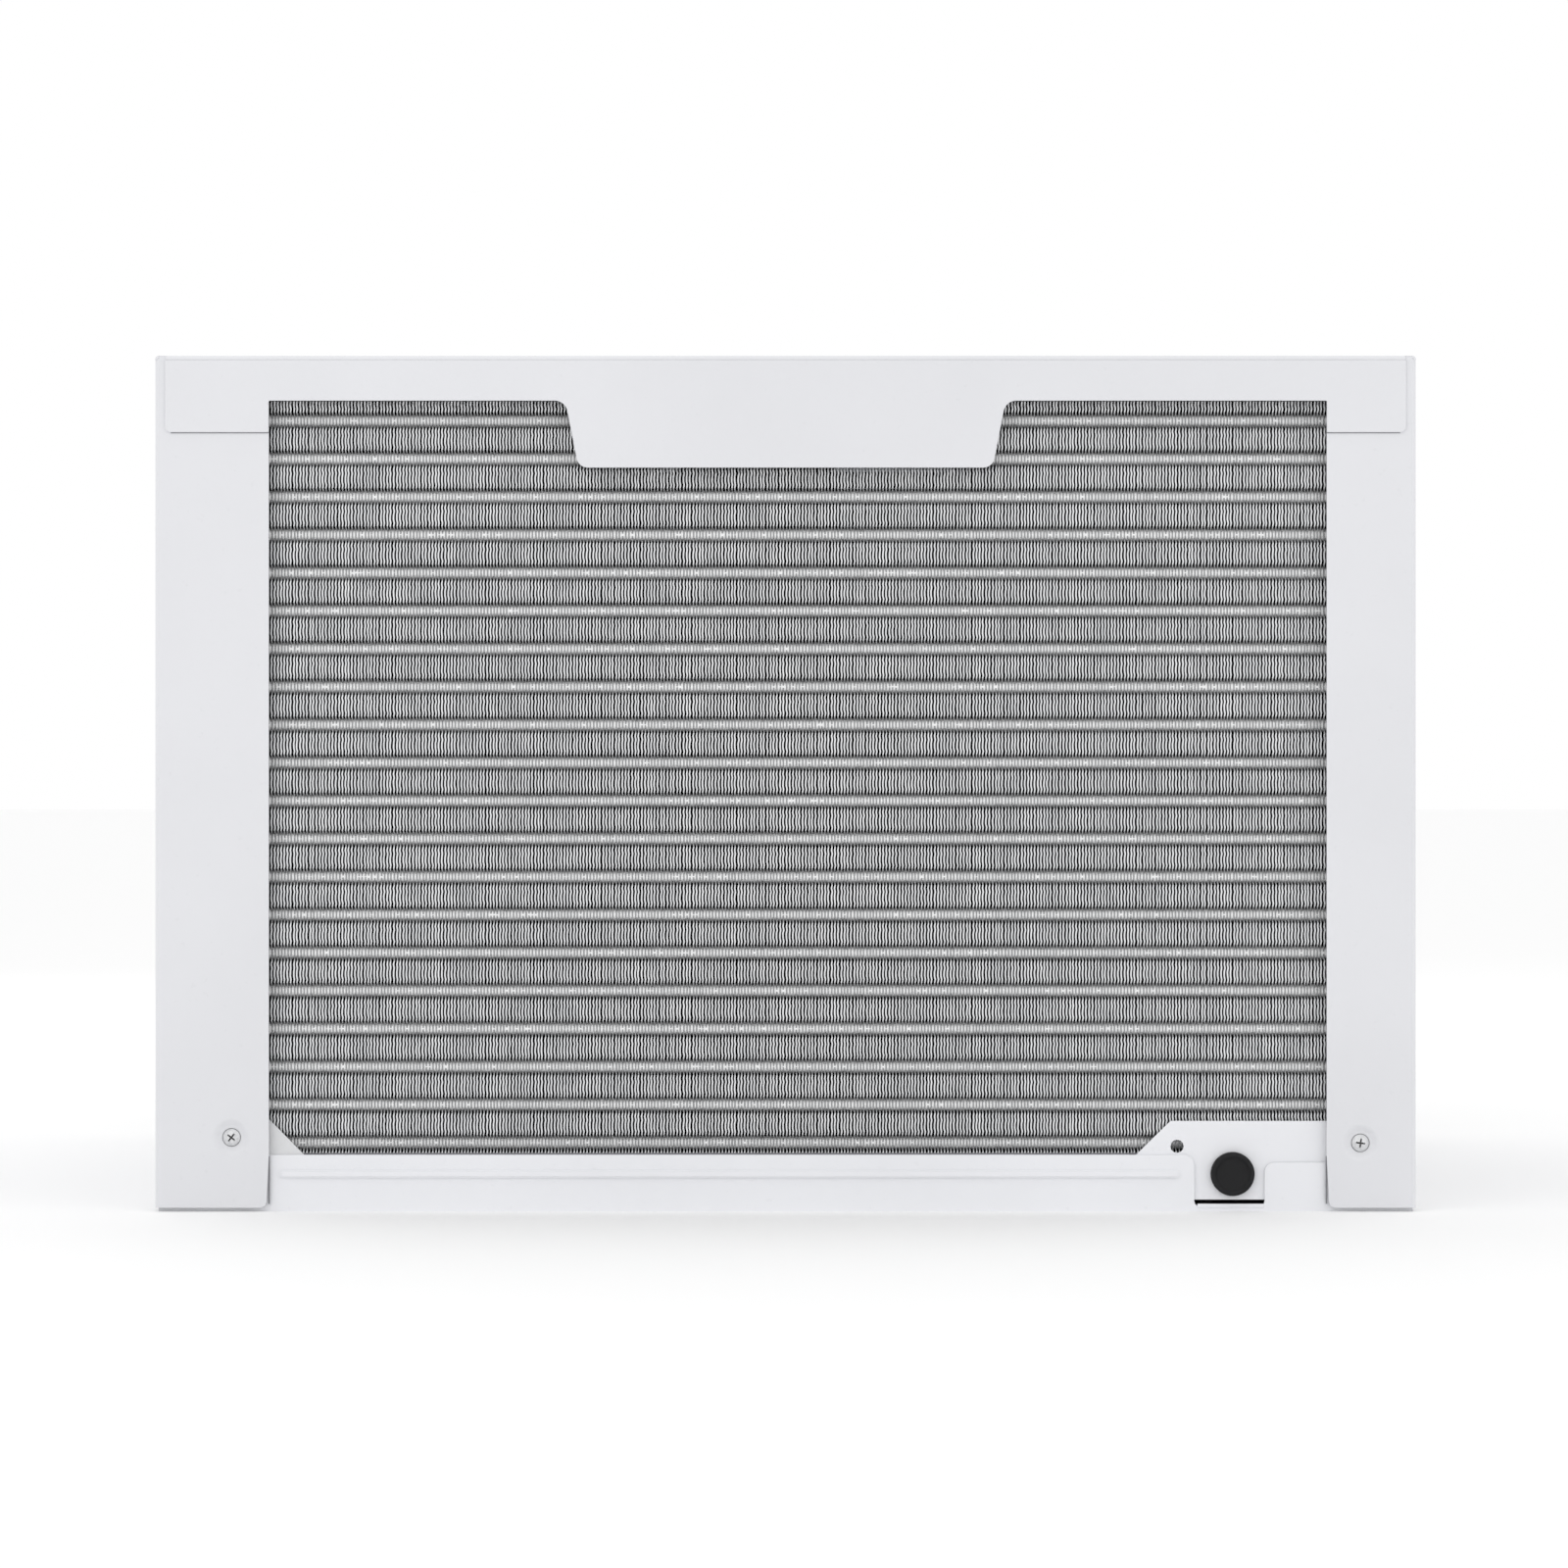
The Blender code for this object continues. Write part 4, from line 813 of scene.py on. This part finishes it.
def make_top_flange(y1, z1, x1):
    """The top panel's turned-down flange, with its corner tabs and middle tab, over the side flanges."""
    edge = x1 - TAB_INSET
    tab_low, middle_low, top = z1 - TAB_DROP, z1 - MIDDLE_TAB_DROP, z1 - BEND
    left, right = OPENING_X[-1.0], OPENING_X[1.0]
    points = [
        (-edge, top), (-edge, tab_low), (left, tab_low), (left, OPENING_TOP), (-MIDDLE_TAB_TOP, OPENING_TOP),
        (-MIDDLE_TAB_FOOT, middle_low), (MIDDLE_TAB_FOOT, middle_low), (MIDDLE_TAB_TOP, OPENING_TOP),
        (right, OPENING_TOP), (right, tab_low), (edge, tab_low), (edge, top),
    ]
    radii = [0.0, 0.0030, 0.0004, 0.0006, 0.0066, 0.0060, 0.0060, 0.0066, 0.0006, 0.0004, 0.0030, 0.0]
    bm = bmesh.new()
    add_prism(bm, rounded(points, radii, 8), "Y", y1 - SHEET, y1)
    make("cabinet_top_flange", bm, "case_paint", bevel=0.00035, angle=40.0)
    make_painted_shadow_lines(edge - 0.0030, tab_low, y1 - SHEET)


def make_painted_shadow_lines(reach, tab_low, flange):
    """Thin dark strips of painted shadow: where one painted sheet laps another, down the pan beside each side
    flange's inner edge, and under the coil's lower edge.
    """
    left, right = OPENING_X[-1.0], OPENING_X[1.0]
    pan_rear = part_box("base_pan")[1][1]
    bm = bmesh.new()
    for xs in ((-reach, left), (right, reach)):
        add_box(bm, xs, (flange - 0.0001, flange + 0.00025), (tab_low - 0.00045, tab_low + 0.0002))
    for x in (left, right):
        add_box(bm, about(x, 0.0004), (pan_rear - 0.0001, pan_rear + 0.00025), (0.0040, 0.0290))
    add_box(bm, (-0.2000, right), (pan_rear - 0.0046, pan_rear - 0.0041), (0.0240, 0.0304))
    # Painted shadow: a dark grey coat for these strips.
    shadow = coated("lap_shadow", (0.20, 0.20, 0.215), 0.6, 0.6, 0.1, 0.1)
    make("cabinet_painted_shadow_lines", bm, shadow, slot="case_paint", smooth=False)


# ---- rear fittings

def make_drain_lip():
    """The pan's floor edge that shows in the lower half of the drain slot."""
    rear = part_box("base_pan")[1][1]
    middle = centre(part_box("drain_plug"))[0]
    bm = bmesh.new()
    add_box(bm, (middle - 0.0165, middle + 0.0185), (rear - 0.0030, rear - 0.0012), (0.0018, 0.0039))
    make("drain_slot_lip", bm, "pan_paint", bevel=0.0004)


def make_drain_plug():
    low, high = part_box("drain_plug")
    y = high[1]
    profile = (
        (0, y - 0.0016), (0.0050, y - 0.0016), (0.0078, y - 0.0014), (0.0086, y - 0.0010),
        (0.0091, y - 0.0002), (0.0097, y), (0.0105, y - 0.0002), (0.0112, y - 0.0009),
        (0.0115, y - 0.0019), (0.0115, y - 0.0040),
        (0.0074, y - 0.0042), (0.0073, low[1] + 0.0004), (0.0068, low[1]), (0, low[1]),
    )
    turned_piece("drain_plug_cap", "black_rubber", "drain_plug", profile, 72, "Y", body="plug")


def cross_points(x, y, z, start, reach, half):
    """The outline of a cross: three points at each arm's end and one in each inner corner."""
    points = []
    for quarter in range(4):
        turn = start + quarter * pi / 2
        for b in (-half, 0.0, half):
            points.append((x + reach * cos(turn) - b * sin(turn), y, z + reach * sin(turn) + b * cos(turn)))
        points += circle(x, y, z, half * 1.42, 1, turn + pi / 4)
    return points


def dome(top, radius):
    return top - HEAD_HEIGHT * (radius / HEAD_RADIUS) ** 2.4


def make_rear_screws():
    """Truss-head screws with a cross recess that tapers to its floor."""
    for name, sign, turned in (("rear_screw_left", -1.0, 8.0), ("rear_screw_right", 1.0, 38.0)):
        low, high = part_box(name)
        x, z = SCREW_SPOTS[sign]
        seat, top = high[1] - 0.0025, high[1]
        start = radians(turned)
        mouth = cross_points(x, dome(top, CROSS_ARM) + 0.0001, z, start, CROSS_ARM, CROSS_HALF)
        floor = cross_points(x, seat + 0.00015, z, start, CROSS_ARM * 0.55, CROSS_HALF * 0.8)
        profile = [(radius, dome(top, radius)) for radius in (0.0030, 0.0037, 0.0043, 0.0047)]
        profile += [(HEAD_RADIUS, seat + 0.0003), (0.0047, seat), (0.0019, seat)]
        profile += [(0.0019, low[1] + 0.001), (0.0006, low[1])]
        bm = bmesh.new()
        cross = [[bm.verts.new(p) for p in ring] for ring in (mouth, floor)]
        rings = []
        for radius, y in profile:
            rings.append([bm.verts.new(p) for p in circle(x, y, z, radius, HEAD_STEPS, start)])
        for a, b in [cross, *zip(rings, rings[1:])]:
            join_rings(bm, a, b)
        bm.faces.new(cross[1])
        bm.faces.new(rings[-1])
        fill_between(bm, (cross[0], rings[0]))
        # Painted shade: the head darkens from 1.9 mm below its top, filling the cross recess and ringing the
        # rim.
        coat = recessed_metal(name + "_plate", top - 0.0019, top - 0.00235)
        make(name + "_cross", bm, coat, replaces=(name,), slot="screw_steel", sharp=40)


# ---- indoor coil

def make_indoor_coil():
    low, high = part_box("evaporator_fins")
    wander = Random(11)
    bm = bmesh.new()
    for x in fin_places(low, high, EVAP_FIN_PITCH):
        rings = []
        for k in range(15):
            z = low[2] + (high[2] - low[2]) * k / 14
            sway = (0.00025 if k % 2 else -0.00025) + wander.uniform(-0.0001, 0.0001)
            rings.append(((x + sway - 0.0003, low[1], z), (x + sway + 0.0003, low[1], z), (x, high[1], z)))
        add_loft(bm, rings)
    # Painted shade: the indoor fins darken from 1.2 mm to 9 mm in from their room-side faces.
    coat = fin_material("indoor_fin_edges", low[1] + 0.0012, low[1] + 0.009)
    make("indoor_fins", bm, coat, replaces=("evaporator_fins",), slot="fin_aluminium", smooth=False)
    inner, outer = coil_runs(EVAP_FIRST_TUBE, TUBE_PITCH, EVAP_TUBES, EVAP_ROW_Y[::-1])
    path = hairpin_path(outer + inner[::-1], low[0] - TUBE_REACH, high[0] + TUBE_REACH, 8)
    bm = bmesh.new()
    add_tube(bm, path, TUBE_RADIUS, 12, (0, 0, 1))
    make("indoor_tubes", bm, "copper", replaces=("evaporator_tubes",))


# ---- refrigerant circuit

def make_compressor():
    r = COMPRESSOR_RADIUS
    profile = [(0, 0.026), (r - 0.016, 0.0264), *arc((r - 0.012, 0.0384), 0.012, -90, 0, 6)]
    profile += [(r, 0.1500), (r + 0.0012, 0.1512), (r + 0.0015, 0.1550), (r + 0.0012, 0.1588), (r, 0.1600)]
    profile += [*oval(r, 0.236, 0.030, 0, 90, 10), (0, 0.2665)]
    turned_piece("compressor_can", "black_enamel", "compressor_shell", profile, 72)
    r = ACCUMULATOR_RADIUS
    profile = [(0, 0.0702), *oval(r, 0.084, 0.0138, -75, 1, 15)]
    profile += [*oval(r, 0.206, 0.0198, 0, 90, 15), (0, 0.2258)]
    turned_piece("accumulator_bottle", "black_enamel", "accumulator", profile, 56)
    profile = (
        (0, 0.0063), (0.0105, 0.0063), (0.011, 0.0068), (0.011, 0.0088), (0.0095, 0.0102), (0.0082, 0.0118),
        (0.0080, 0.0145), (0.0082, 0.0172), (0.0095, 0.0188), (0.011, 0.0200), (0.011, 0.0215),
        (0.0105, 0.022), (0, 0.022),
    )
    for index in (1, 2, 3):
        turned_piece(f"compressor_grommet_{index}", "black_rubber", f"compressor_foot_{index}", profile, 40)


def make_drier_and_capacitor():
    profile = (
        (0, 0.150), (0.0040, 0.150), (0.0046, 0.1545), (0.0075, 0.1590), (0.0104, 0.1640), (0.011, 0.169),
        (0.011, 0.212), (0.0104, 0.2170), (0.0075, 0.2220), (0.0046, 0.2265), (0.0040, 0.231), (0, 0.231),
    )
    turned_piece("drier_body", "copper", "filter_drier", profile, 40)
    low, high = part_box("run_capacitor")
    foot, top = low[2], high[2]
    profile = (
        (0, foot), (0.0200, foot), (0.021, foot + 0.001), (0.021, top - 0.004), (0.021, top - 0.003),
        (0.021, top - 0.001), (0.0200, top), (0.0190, top - 0.0015), (0, top - 0.0015),
    )
    turned_piece("capacitor_can", "fin_aluminium", "run_capacitor", profile, 56)


def make_pipe(name, stands, path, radius, up=(0, 1, 0)):
    bm = bmesh.new()
    add_tube(bm, smooth_path(path, PIPE_BEND), radius, 20, up)
    make(name, bm, "copper", replaces=(stands,))


def make_pipes():
    """The lines between compressor, coils and drier, each from its own list of corners."""
    coil_left, coil_right = (box[0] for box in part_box("condenser_fins"))
    top_back = FIRST_TUBE + TUBE_PITCH * (TUBE_COUNT - 1.5)
    top_front = FIRST_TUBE + TUBE_PITCH * (TUBE_COUNT - 1)
    x, y = centre(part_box("compressor_shell"))[:2]
    path = [(x, y, 0.2695), (x, y, 0.312), (x + 0.020, y, 0.330), (0.313, y, 0.330), (0.313, 0.245, 0.360)]
    path += [(0.313, 0.290, top_back), (0.308, ROW_Y[0], top_back)]
    path += [(coil_right + PIPE_STUB, ROW_Y[0], top_back)]
    make_pipe("discharge_line", "discharge_pipe", path, 0.0040)

    indoor_left, indoor_right = (box[0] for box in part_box("evaporator_fins"))
    zero = EVAP_FIRST_TUBE + TUBE_PITCH * 0.5
    back, front = EVAP_ROW_Y[1], EVAP_ROW_Y[0]
    path = [(indoor_right + PIPE_STUB, back, zero), (0.284, back, zero), (0.292, -0.226, 0.056)]
    path += [(0.292, -0.060, 0.056), (0.292, -0.044, 0.070), (0.292, -0.044, 0.270), (0.280, -0.044, 0.286)]
    path += [(0.150, -0.044, 0.286), (0.138, -0.030, 0.286), (0.138, 0.000, 0.286), (0.138, 0.010, 0.276)]
    path += [(0.138, 0.010, 0.2275)]
    make_pipe("suction_line", "suction_pipe", path, 0.0050)

    path = [(coil_left - PIPE_STUB, ROW_Y[1], top_front), (-0.312, ROW_Y[1], top_front)]
    path += [(-0.320, ROW_Y[1] - 0.008, top_front), (-0.320, 0.060, top_front), (-0.312, 0.048, top_front)]
    path += [(-0.300, 0.040, top_front - 0.010), (-0.300, 0.040, 0.232)]
    make_pipe("liquid_line", "liquid_pipe", path, 0.0032, (0, 0, 1))

    path = [(-0.300, 0.040, 0.1485), (-0.300, 0.040, 0.140)]
    for i in range(CAPILLARY_TURNS * 24 + 1):
        turn = 2 * pi * i / 24
        path.append((-0.280 - 0.020 * cos(turn), 0.040 + 0.020 * sin(turn), 0.132 - 0.0005 * i))
    path += [(-0.300, 0.020, 0.088), (-0.300, -0.020, 0.060), (-0.300, -0.240, 0.060), (-0.296, front, 0.050)]
    path += [(-0.288, front, EVAP_FIRST_TUBE), (indoor_left - PIPE_STUB, front, EVAP_FIRST_TUBE)]
    bm = bmesh.new()
    add_tube(bm, smooth_path(path, 0.004, 3), 0.0016, 10, (0, 0, 1))
    make("capillary_line", bm, "copper", replaces=("capillary_tube",))


def make_motor():
    low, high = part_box("fan_motor")
    y0, y1, r = low[1] + 0.008, high[1] - 0.008, MOTOR_RADIUS
    half = [(MOTOR_BORE, -0.008), (0.019, -0.008), (0.020, -0.007), (0.0205, -0.001), (0.024, 0.0003)]
    half += [(0.045, 0.0020), (r - 0.006, 0.0045), (r - 0.002, 0.0080), (r - 0.0004, 0.0130)]
    half += [(r - 0.0002, 0.0150), (r - 0.0018, 0.0156), (r - 0.0018, 0.0176), (r, 0.0182)]
    profile = [(a, y0 + b) for a, b in half] + [(a, y1 - b) for a, b in half[::-1]]
    turned_piece("motor_can", "black_enamel", "fan_motor", profile, 72, "Y")


# ---- room-side front

def add_frame(bm, xs, zs, profile):
    """A mitred rectangular frame: profile holds (inset from the outer edge, y) all round the section."""
    rings = []
    for inset, y in profile:
        x0, x1, z0, z1 = xs[0] + inset, xs[1] - inset, zs[0] + inset, zs[1] - inset
        rings.append(((x0, y, z0), (x1, y, z0), (x1, y, z1), (x0, y, z1)))
    add_loft(bm, rings, closed=True)


def make_intake_grille():
    low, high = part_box("intake_grille")
    face, back, rim = low[1], high[1], GRILLE_RIM
    section = [(0.0002, face + 0.0030), (0.0009, face + 0.0009), (0.0030, face), (rim - 0.0040, face)]
    section += [(rim - 0.0014, face + 0.0006), (rim, face + 0.0022), (rim, back), (rim - 0.003, back)]
    section += [(rim - 0.003, face + 0.003), (0.003, face + 0.003), (0.003, back), (0.0, back)]
    bm = bmesh.new()
    add_frame(bm, (low[0], high[0]), (low[2], high[2]), section)
    for i in range(SLATS):
        z = FIRST_SLAT + SLAT_PITCH * i
        outline = [
            (face + 0.0004, z - 0.0016), (face + 0.0002, z), (face + 0.0006, z + 0.0016),
            (face + 0.0016, z + 0.0028), (face + 0.0036, z + 0.0034), (back - 0.0004, z + 0.0012),
            (back - 0.0002, z + 0.0004),
            (face + 0.0042, z + 0.0012), (face + 0.0030, z - 0.0006), (face + 0.0018, z - 0.0024),
        ]
        add_prism(bm, outline, "X", *inset(low[0], high[0], rim - 0.0010))
    ends = inset(low[2], high[2], rim - 0.001)
    for i in range(-2, 3):
        x = i * RIB_PITCH
        front, half = (face + 0.0044, 0.0009) if i else (face + 0.0010, 0.0030)
        add_box(bm, about(x, half), (front, back - 0.0001), ends)
    for x in (-HINGE_X, HINGE_X):
        add_prism(bm, arc(HINGE_LINE, 0.0022, 0, 345, 23), "X", *about(x, 0.004))
    grille = {"body": "grille", "replaces": ("intake_grille",), "bevel": 0.00025, "angle": 45.0}
    make("intake_grille_slats", bm, "front_plastic", **grille)


def make_air_filter():
    """A moulded frame with ribs and a woven screen of single threads."""
    low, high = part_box("air_filter")
    y0, y1, z0, z1 = low[1], high[1], low[2], high[2]
    left, right = low[0] + 0.0075, high[0] - 0.0290
    section = [(0.0003, y0 + 0.0003), (0.0008, y0), (0.0074, y0), (0.008, y0 + 0.0006), (0.008, y1 - 0.0006)]
    section += [(0.0074, y1), (0.0008, y1), (0.0, y1 - 0.0006)]
    bm = bmesh.new()
    add_frame(bm, (low[0], high[0] - 0.0205), (z0, z1), section)
    for k in range(1, 6):
        x = low[0] + 0.008 + (right - low[0] - 0.008) * k / 6
        add_box(bm, about(x, 0.0025), inset(y0, y1, 0.0004), inset(z0, z1, 0.007))
    for k in (1, 2):
        z = z0 + (z1 - z0) * k / 3
        add_box(bm, (left, right), inset(y0, y1, 0.0006), about(z, 0.0025))
    add_box(bm, (high[0] - 0.0212, high[0]), inset(y0, y1, 0.0002), inset(z0, z1, 0.001))
    make("air_filter_frame", bm, "filter_mesh", body="filter", replaces=("air_filter",), bevel=0.0003)
    middle = (y0 + y1) / 2
    bm = bmesh.new()
    x = left
    while x < right:
        add_box(bm, about(x, THREAD), about(middle, THREAD), inset(z0, z1, 0.0075))
        x += THREAD_PITCH
    z = z0 + 0.0080
    while z < z1 - 0.0075:
        add_box(bm, (left, right), about(middle - THREAD * 1.6, THREAD), about(z, THREAD))
        z += THREAD_PITCH
    make("air_filter_screen", bm, "filter_mesh", body="filter", smooth=False)


def make_louvers():
    """Three outlet blades with lens-shaped sections and a round pin at each end."""
    for index in (1, 2, 3):
        name = f"louver_{index}"
        low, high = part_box(name)
        x, y, z = centre((low, high))
        upper = []
        for share in (0.02, 0.06, 0.14, 0.3, 0.5, 0.7, 0.86, 0.97):
            thick = LOUVER_HALF * (4 * share * (1 - share)) ** 0.45
            upper.append((low[1] + (high[1] - low[1]) * share, z - thick))
        lower = [(a, 2 * z - b) for a, b in upper[::-1]]
        bm = bmesh.new()
        add_prism(bm, upper + lower, "X", *inset(low[0], high[0], 0.0002))
        for x0, x1 in ((low[0], low[0] + 0.003), (high[0] - 0.003, high[0])):
            add_prism(bm, arc((y, z), LOUVER_HALF, 0, 345, 23), "X", x0, x1)
        make(f"{name}_blade", bm, "front_plastic", body=name, replaces=(name,), sharp=50)


def rounded_rect(low, high, grow, radius):
    """A rounded rectangle (x, z) round a node's box, grown by a margin."""
    x0, x1, z0, z1 = low[0] - grow, high[0] + grow, low[2] - grow, high[2] + grow
    return rounded([(x0, z0), (x1, z0), (x1, z1), (x0, z1)], radius, 6)


def make_buttons():
    """Caps with crowned edges."""
    for name in BUTTON_NAMES:
        low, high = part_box(name)
        rings = []
        for inset, y in (
            (0.0, high[1]), (0.0, low[1] + 0.0010), (0.0002, low[1] + 0.0004),
            (0.0006, low[1] + 0.0001), (0.0012, low[1]),
        ):
            outline = rounded_rect(low, high, -inset, BUTTON_CORNER - inset * 0.5)
            rings.append([(x, y, z) for x, z in outline])
        bm = bmesh.new()
        add_loft(bm, rings)
        make(f"{name}_cap", bm, "front_plastic", body=name, replaces=(name,), sharp=50)


def make_control_panel():
    """The panel's plate, with rounded holes that follow the caps."""
    low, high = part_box("control_panel")
    loops = [rounded_rect(low, high, 0.0, 0.0005)]
    for name in BUTTON_NAMES:
        loops.append(rounded_rect(*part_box(name), 0.0004, BUTTON_CORNER + 0.0004))
    loops.append(rounded_rect(*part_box("display_window"), 0.0003, 0.0008))
    bm = bmesh.new()
    skins = []
    for y in (low[1], high[1]):
        skin = [[bm.verts.new((x, y, z)) for x, z in loop] for loop in loops]
        fill_between(bm, skin)
        skins.append(skin)
    for front, back in zip(*skins):
        join_rings(bm, front, back)
    panel = {"replaces": ("control_panel",), "bevel": 0.00025, "angle": 50.0, "sharp": 50}
    make("control_panel_plate", bm, "grey_plastic", **panel)


def bar(x0, x1, z0, z1):
    return [(x0, z0), (x1, z0), (x1, z1), (x0, z1)]


def fan_leaf(x, z, turn):
    """A slim oval beside a point, turned round it."""
    leaf = []
    for k in range(12):
        a = 2 * pi * k / 12
        u, v = 0.0024 + 0.0021 * cos(a), 0.0011 * sin(a)
        leaf.append((x + u * cos(turn) - v * sin(turn), z + u * sin(turn) + v * cos(turn)))
    return leaf


def arrow(x, z, way):
    return [(x - 0.0042, z - way * 0.0024), (x + 0.0042, z - way * 0.0024), (x, z + way * 0.0032)]


def mark_outlines(name, x, z):
    """A button's generic mark: ring and bar, arrow, three fan leaves or three shortening bars."""
    if name == "button_power":
        ring = arc((x, z), 0.0045, 120, 420, 40) + arc((x, z), 0.0036, 420, 120, 40)
        return [ring, bar(*about(x, 0.00045), z + 0.0012, z + 0.0056)]
    if name == "button_fan":
        return [fan_leaf(x, z, radians(90 + 120 * k)) for k in range(3)]
    if name == "button_mode":
        rows = ((0.0050, 0.0026), (0.0036, 0.0), (0.0022, -0.0026))
        return [bar(*about(x, half), *about(z + rise, 0.0005)) for half, rise in rows]
    return [arrow(x, z, 1.0 if name == "button_up" else -1.0)]


def make_button_marks():
    """Each mark stands about a tenth of a millimetre proud of its cap."""
    for name in ("button_power", "button_up", "button_down", "button_fan", "button_mode"):
        low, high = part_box(name)
        x, y, z = centre((low, high))
        bm = bmesh.new()
        for outline in mark_outlines(name, x, z):
            add_prism(bm, outline, "Y", low[1] - 0.00012, low[1] + 0.0004)
        make(f"{name}_mark", bm, MARK_INK, body=name, slot="grey_plastic", smooth=False)


def make_display_digits():
    """Two plain seven-bar numerals, a tenth of a millimetre proud of the smoked window."""
    low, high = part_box("display_window")
    glow, tree, shader = new_material("display_bars")
    set_inputs(shader, {"Base Color": (0.55, 0.85, 0.95, 1.0), "Emission Color": (0.55, 0.90, 1.0, 1.0)})
    set_inputs(shader, {"Emission Strength": 0.9, "Roughness": 0.4})
    wide, tall, thick = 0.0088, 0.0168, 0.0013
    x, y, z = centre((low, high))
    foot, top = z - tall / 2, z + tall / 2
    upper, lower = (z + thick, top - thick * 1.3), (foot + thick * 1.3, z - thick)
    cross_bars = ((top - thick, top), about(z, thick / 2), (foot, foot + thick))
    numerals = (
        (x - 0.0115, cross_bars, ((0.0, lower), (wide - thick, upper))),
        (x + 0.0027, cross_bars[1:2], ((0.0, upper), (wide - thick, upper), (wide - thick, lower))),
    )
    bm = bmesh.new()
    ys = (low[1] - 0.00010, low[1] + 0.0003)
    for left, flat, upright in numerals:
        for zs in flat:
            add_box(bm, (left, left + wide), ys, zs)
        for shift, zs in upright:
            add_box(bm, (left + shift, left + shift + thick), ys, zs)
    make("display_bars", bm, glow, slot="smoked_window", smooth=False)


# ---- carried-over CAD pieces

ROUNDING = {
    "base_pan": 0.0004, "drain_bracket": 0.0003, "corner_gusset": 0.0003, "front_bezel": 0.0014,
    "display_window": 0.0004, "vent_lever": 0.0006, "vane_link": 0.0004, "outlet_duct": 0.0010,
    "scroll_housing": 0.0008, "blower_inlet_ring": 0.0012, "drip_tray": 0.0012, "control_box": 0.0004,
    "control_board": 0.0002, "terminal_cover": 0.0015, "fan_shroud": 0.0006, "bulkhead": 0.0003,
    "motor_bracket": 0.0006, "compressor_base_plate": 0.0006, "vent_door": 0.0005,
    "condenser_end_plate_left": 0.0003, "condenser_end_plate_right": 0.0003, "condenser_fan": 0.0006,
    "blower_wheel": 0.0003,
}


def dress_frame():
    """Every carried-over node takes its slot's material, except the gusset, which takes its own painted-light
    coat; all get rounded edges and even shading.
    """
    slots = {item["node"]: item["material_slot"] for item in frame["record"]["subparts"]}
    for name, piece in NODES.items():
        if piece.hide_render:
            continue
        coat = GUSSET_PAINTED_LIGHT if name == "corner_gusset" else MATERIALS[slots[name]]
        if not piece.material_slots:
            piece.data.materials.append(coat)
        for socket in piece.material_slots:
            socket.material = coat
        width = ROUNDING.get(name, 0.0004)
        round_edges(piece, width, 38, 2 if width < 0.001 else 3)
        shade_evenly(piece, False)


# ---- stage

def softbox(name, spot, power, wide, tall):
    light = bpy.data.lights.new(name, "AREA")
    light.shape = "RECTANGLE"
    light.size = wide
    light.size_y = tall
    light.energy = power
    lamp = put(name, light)
    lamp.location = spot
    lamp.rotation_euler = (Vector(LIGHT_AIM) - Vector(spot)).to_track_quat("-Z", "Y").to_euler()


def make_stage():
    """A white floor and world, four soft lights, and a long lens square on to the outdoor side."""
    scene = bpy.context.scene
    material, tree, shader = new_material("floor")
    set_inputs(shader, {"Base Color": (0.97, 0.97, 0.97, 1.0), "Roughness": 0.95, "Specular IOR Level": 0.05})
    bm = bmesh.new()
    outline = bar(-FLOOR_HALF, FLOOR_HALF, -FLOOR_HALF, FLOOR_HALF)
    bm.faces.new([bm.verts.new((x, y, CAD_BOX[0][2])) for x, y in outline])
    put("floor", mesh_from("floor", bm, material))

    scene.world = bpy.data.worlds.new("studio")
    scene.world.use_nodes = True
    set_inputs(scene.world.node_tree.nodes["Background"], {"Color": (1.0, 1.0, 1.0, 1.0), "Strength": 1.0})
    softbox("key", (1.1, 2.5, 2.1), 5.0, 1.6, 1.2)
    softbox("fill", (-1.9, 2.3, 1.1), 1.6, 1.6, 1.6)
    softbox("room_side", (0.8, -2.6, 1.8), 5.0, 1.8, 1.4)
    softbox("overhead", (0.0, 0.1, 3.0), 4.0, 2.6, 2.6)

    camera = bpy.data.cameras.new("camera")
    camera.sensor_width = SENSOR
    camera.lens = SENSOR * CAMERA_AWAY / SIGHT_WIDTH
    camera.clip_end = 50.0
    eye = put("camera", camera)
    eye.location = (0.0008, CAD_BOX[1][1] + CAMERA_AWAY, 0.2238)
    eye.rotation_euler = (radians(90), 0.0, radians(180))
    scene.camera = eye
    scene.view_settings.view_transform = "Standard"


make_outdoor_fins()
make_outdoor_tubes()
make_cabinet()
make_drain_lip()
make_drain_plug()
make_rear_screws()
make_indoor_coil()
make_compressor()
make_drier_and_capacitor()
make_pipes()
make_motor()
make_intake_grille()
make_air_filter()
make_louvers()
make_control_panel()
make_buttons()
make_button_marks()
make_display_digits()
dress_frame()
make_stage()
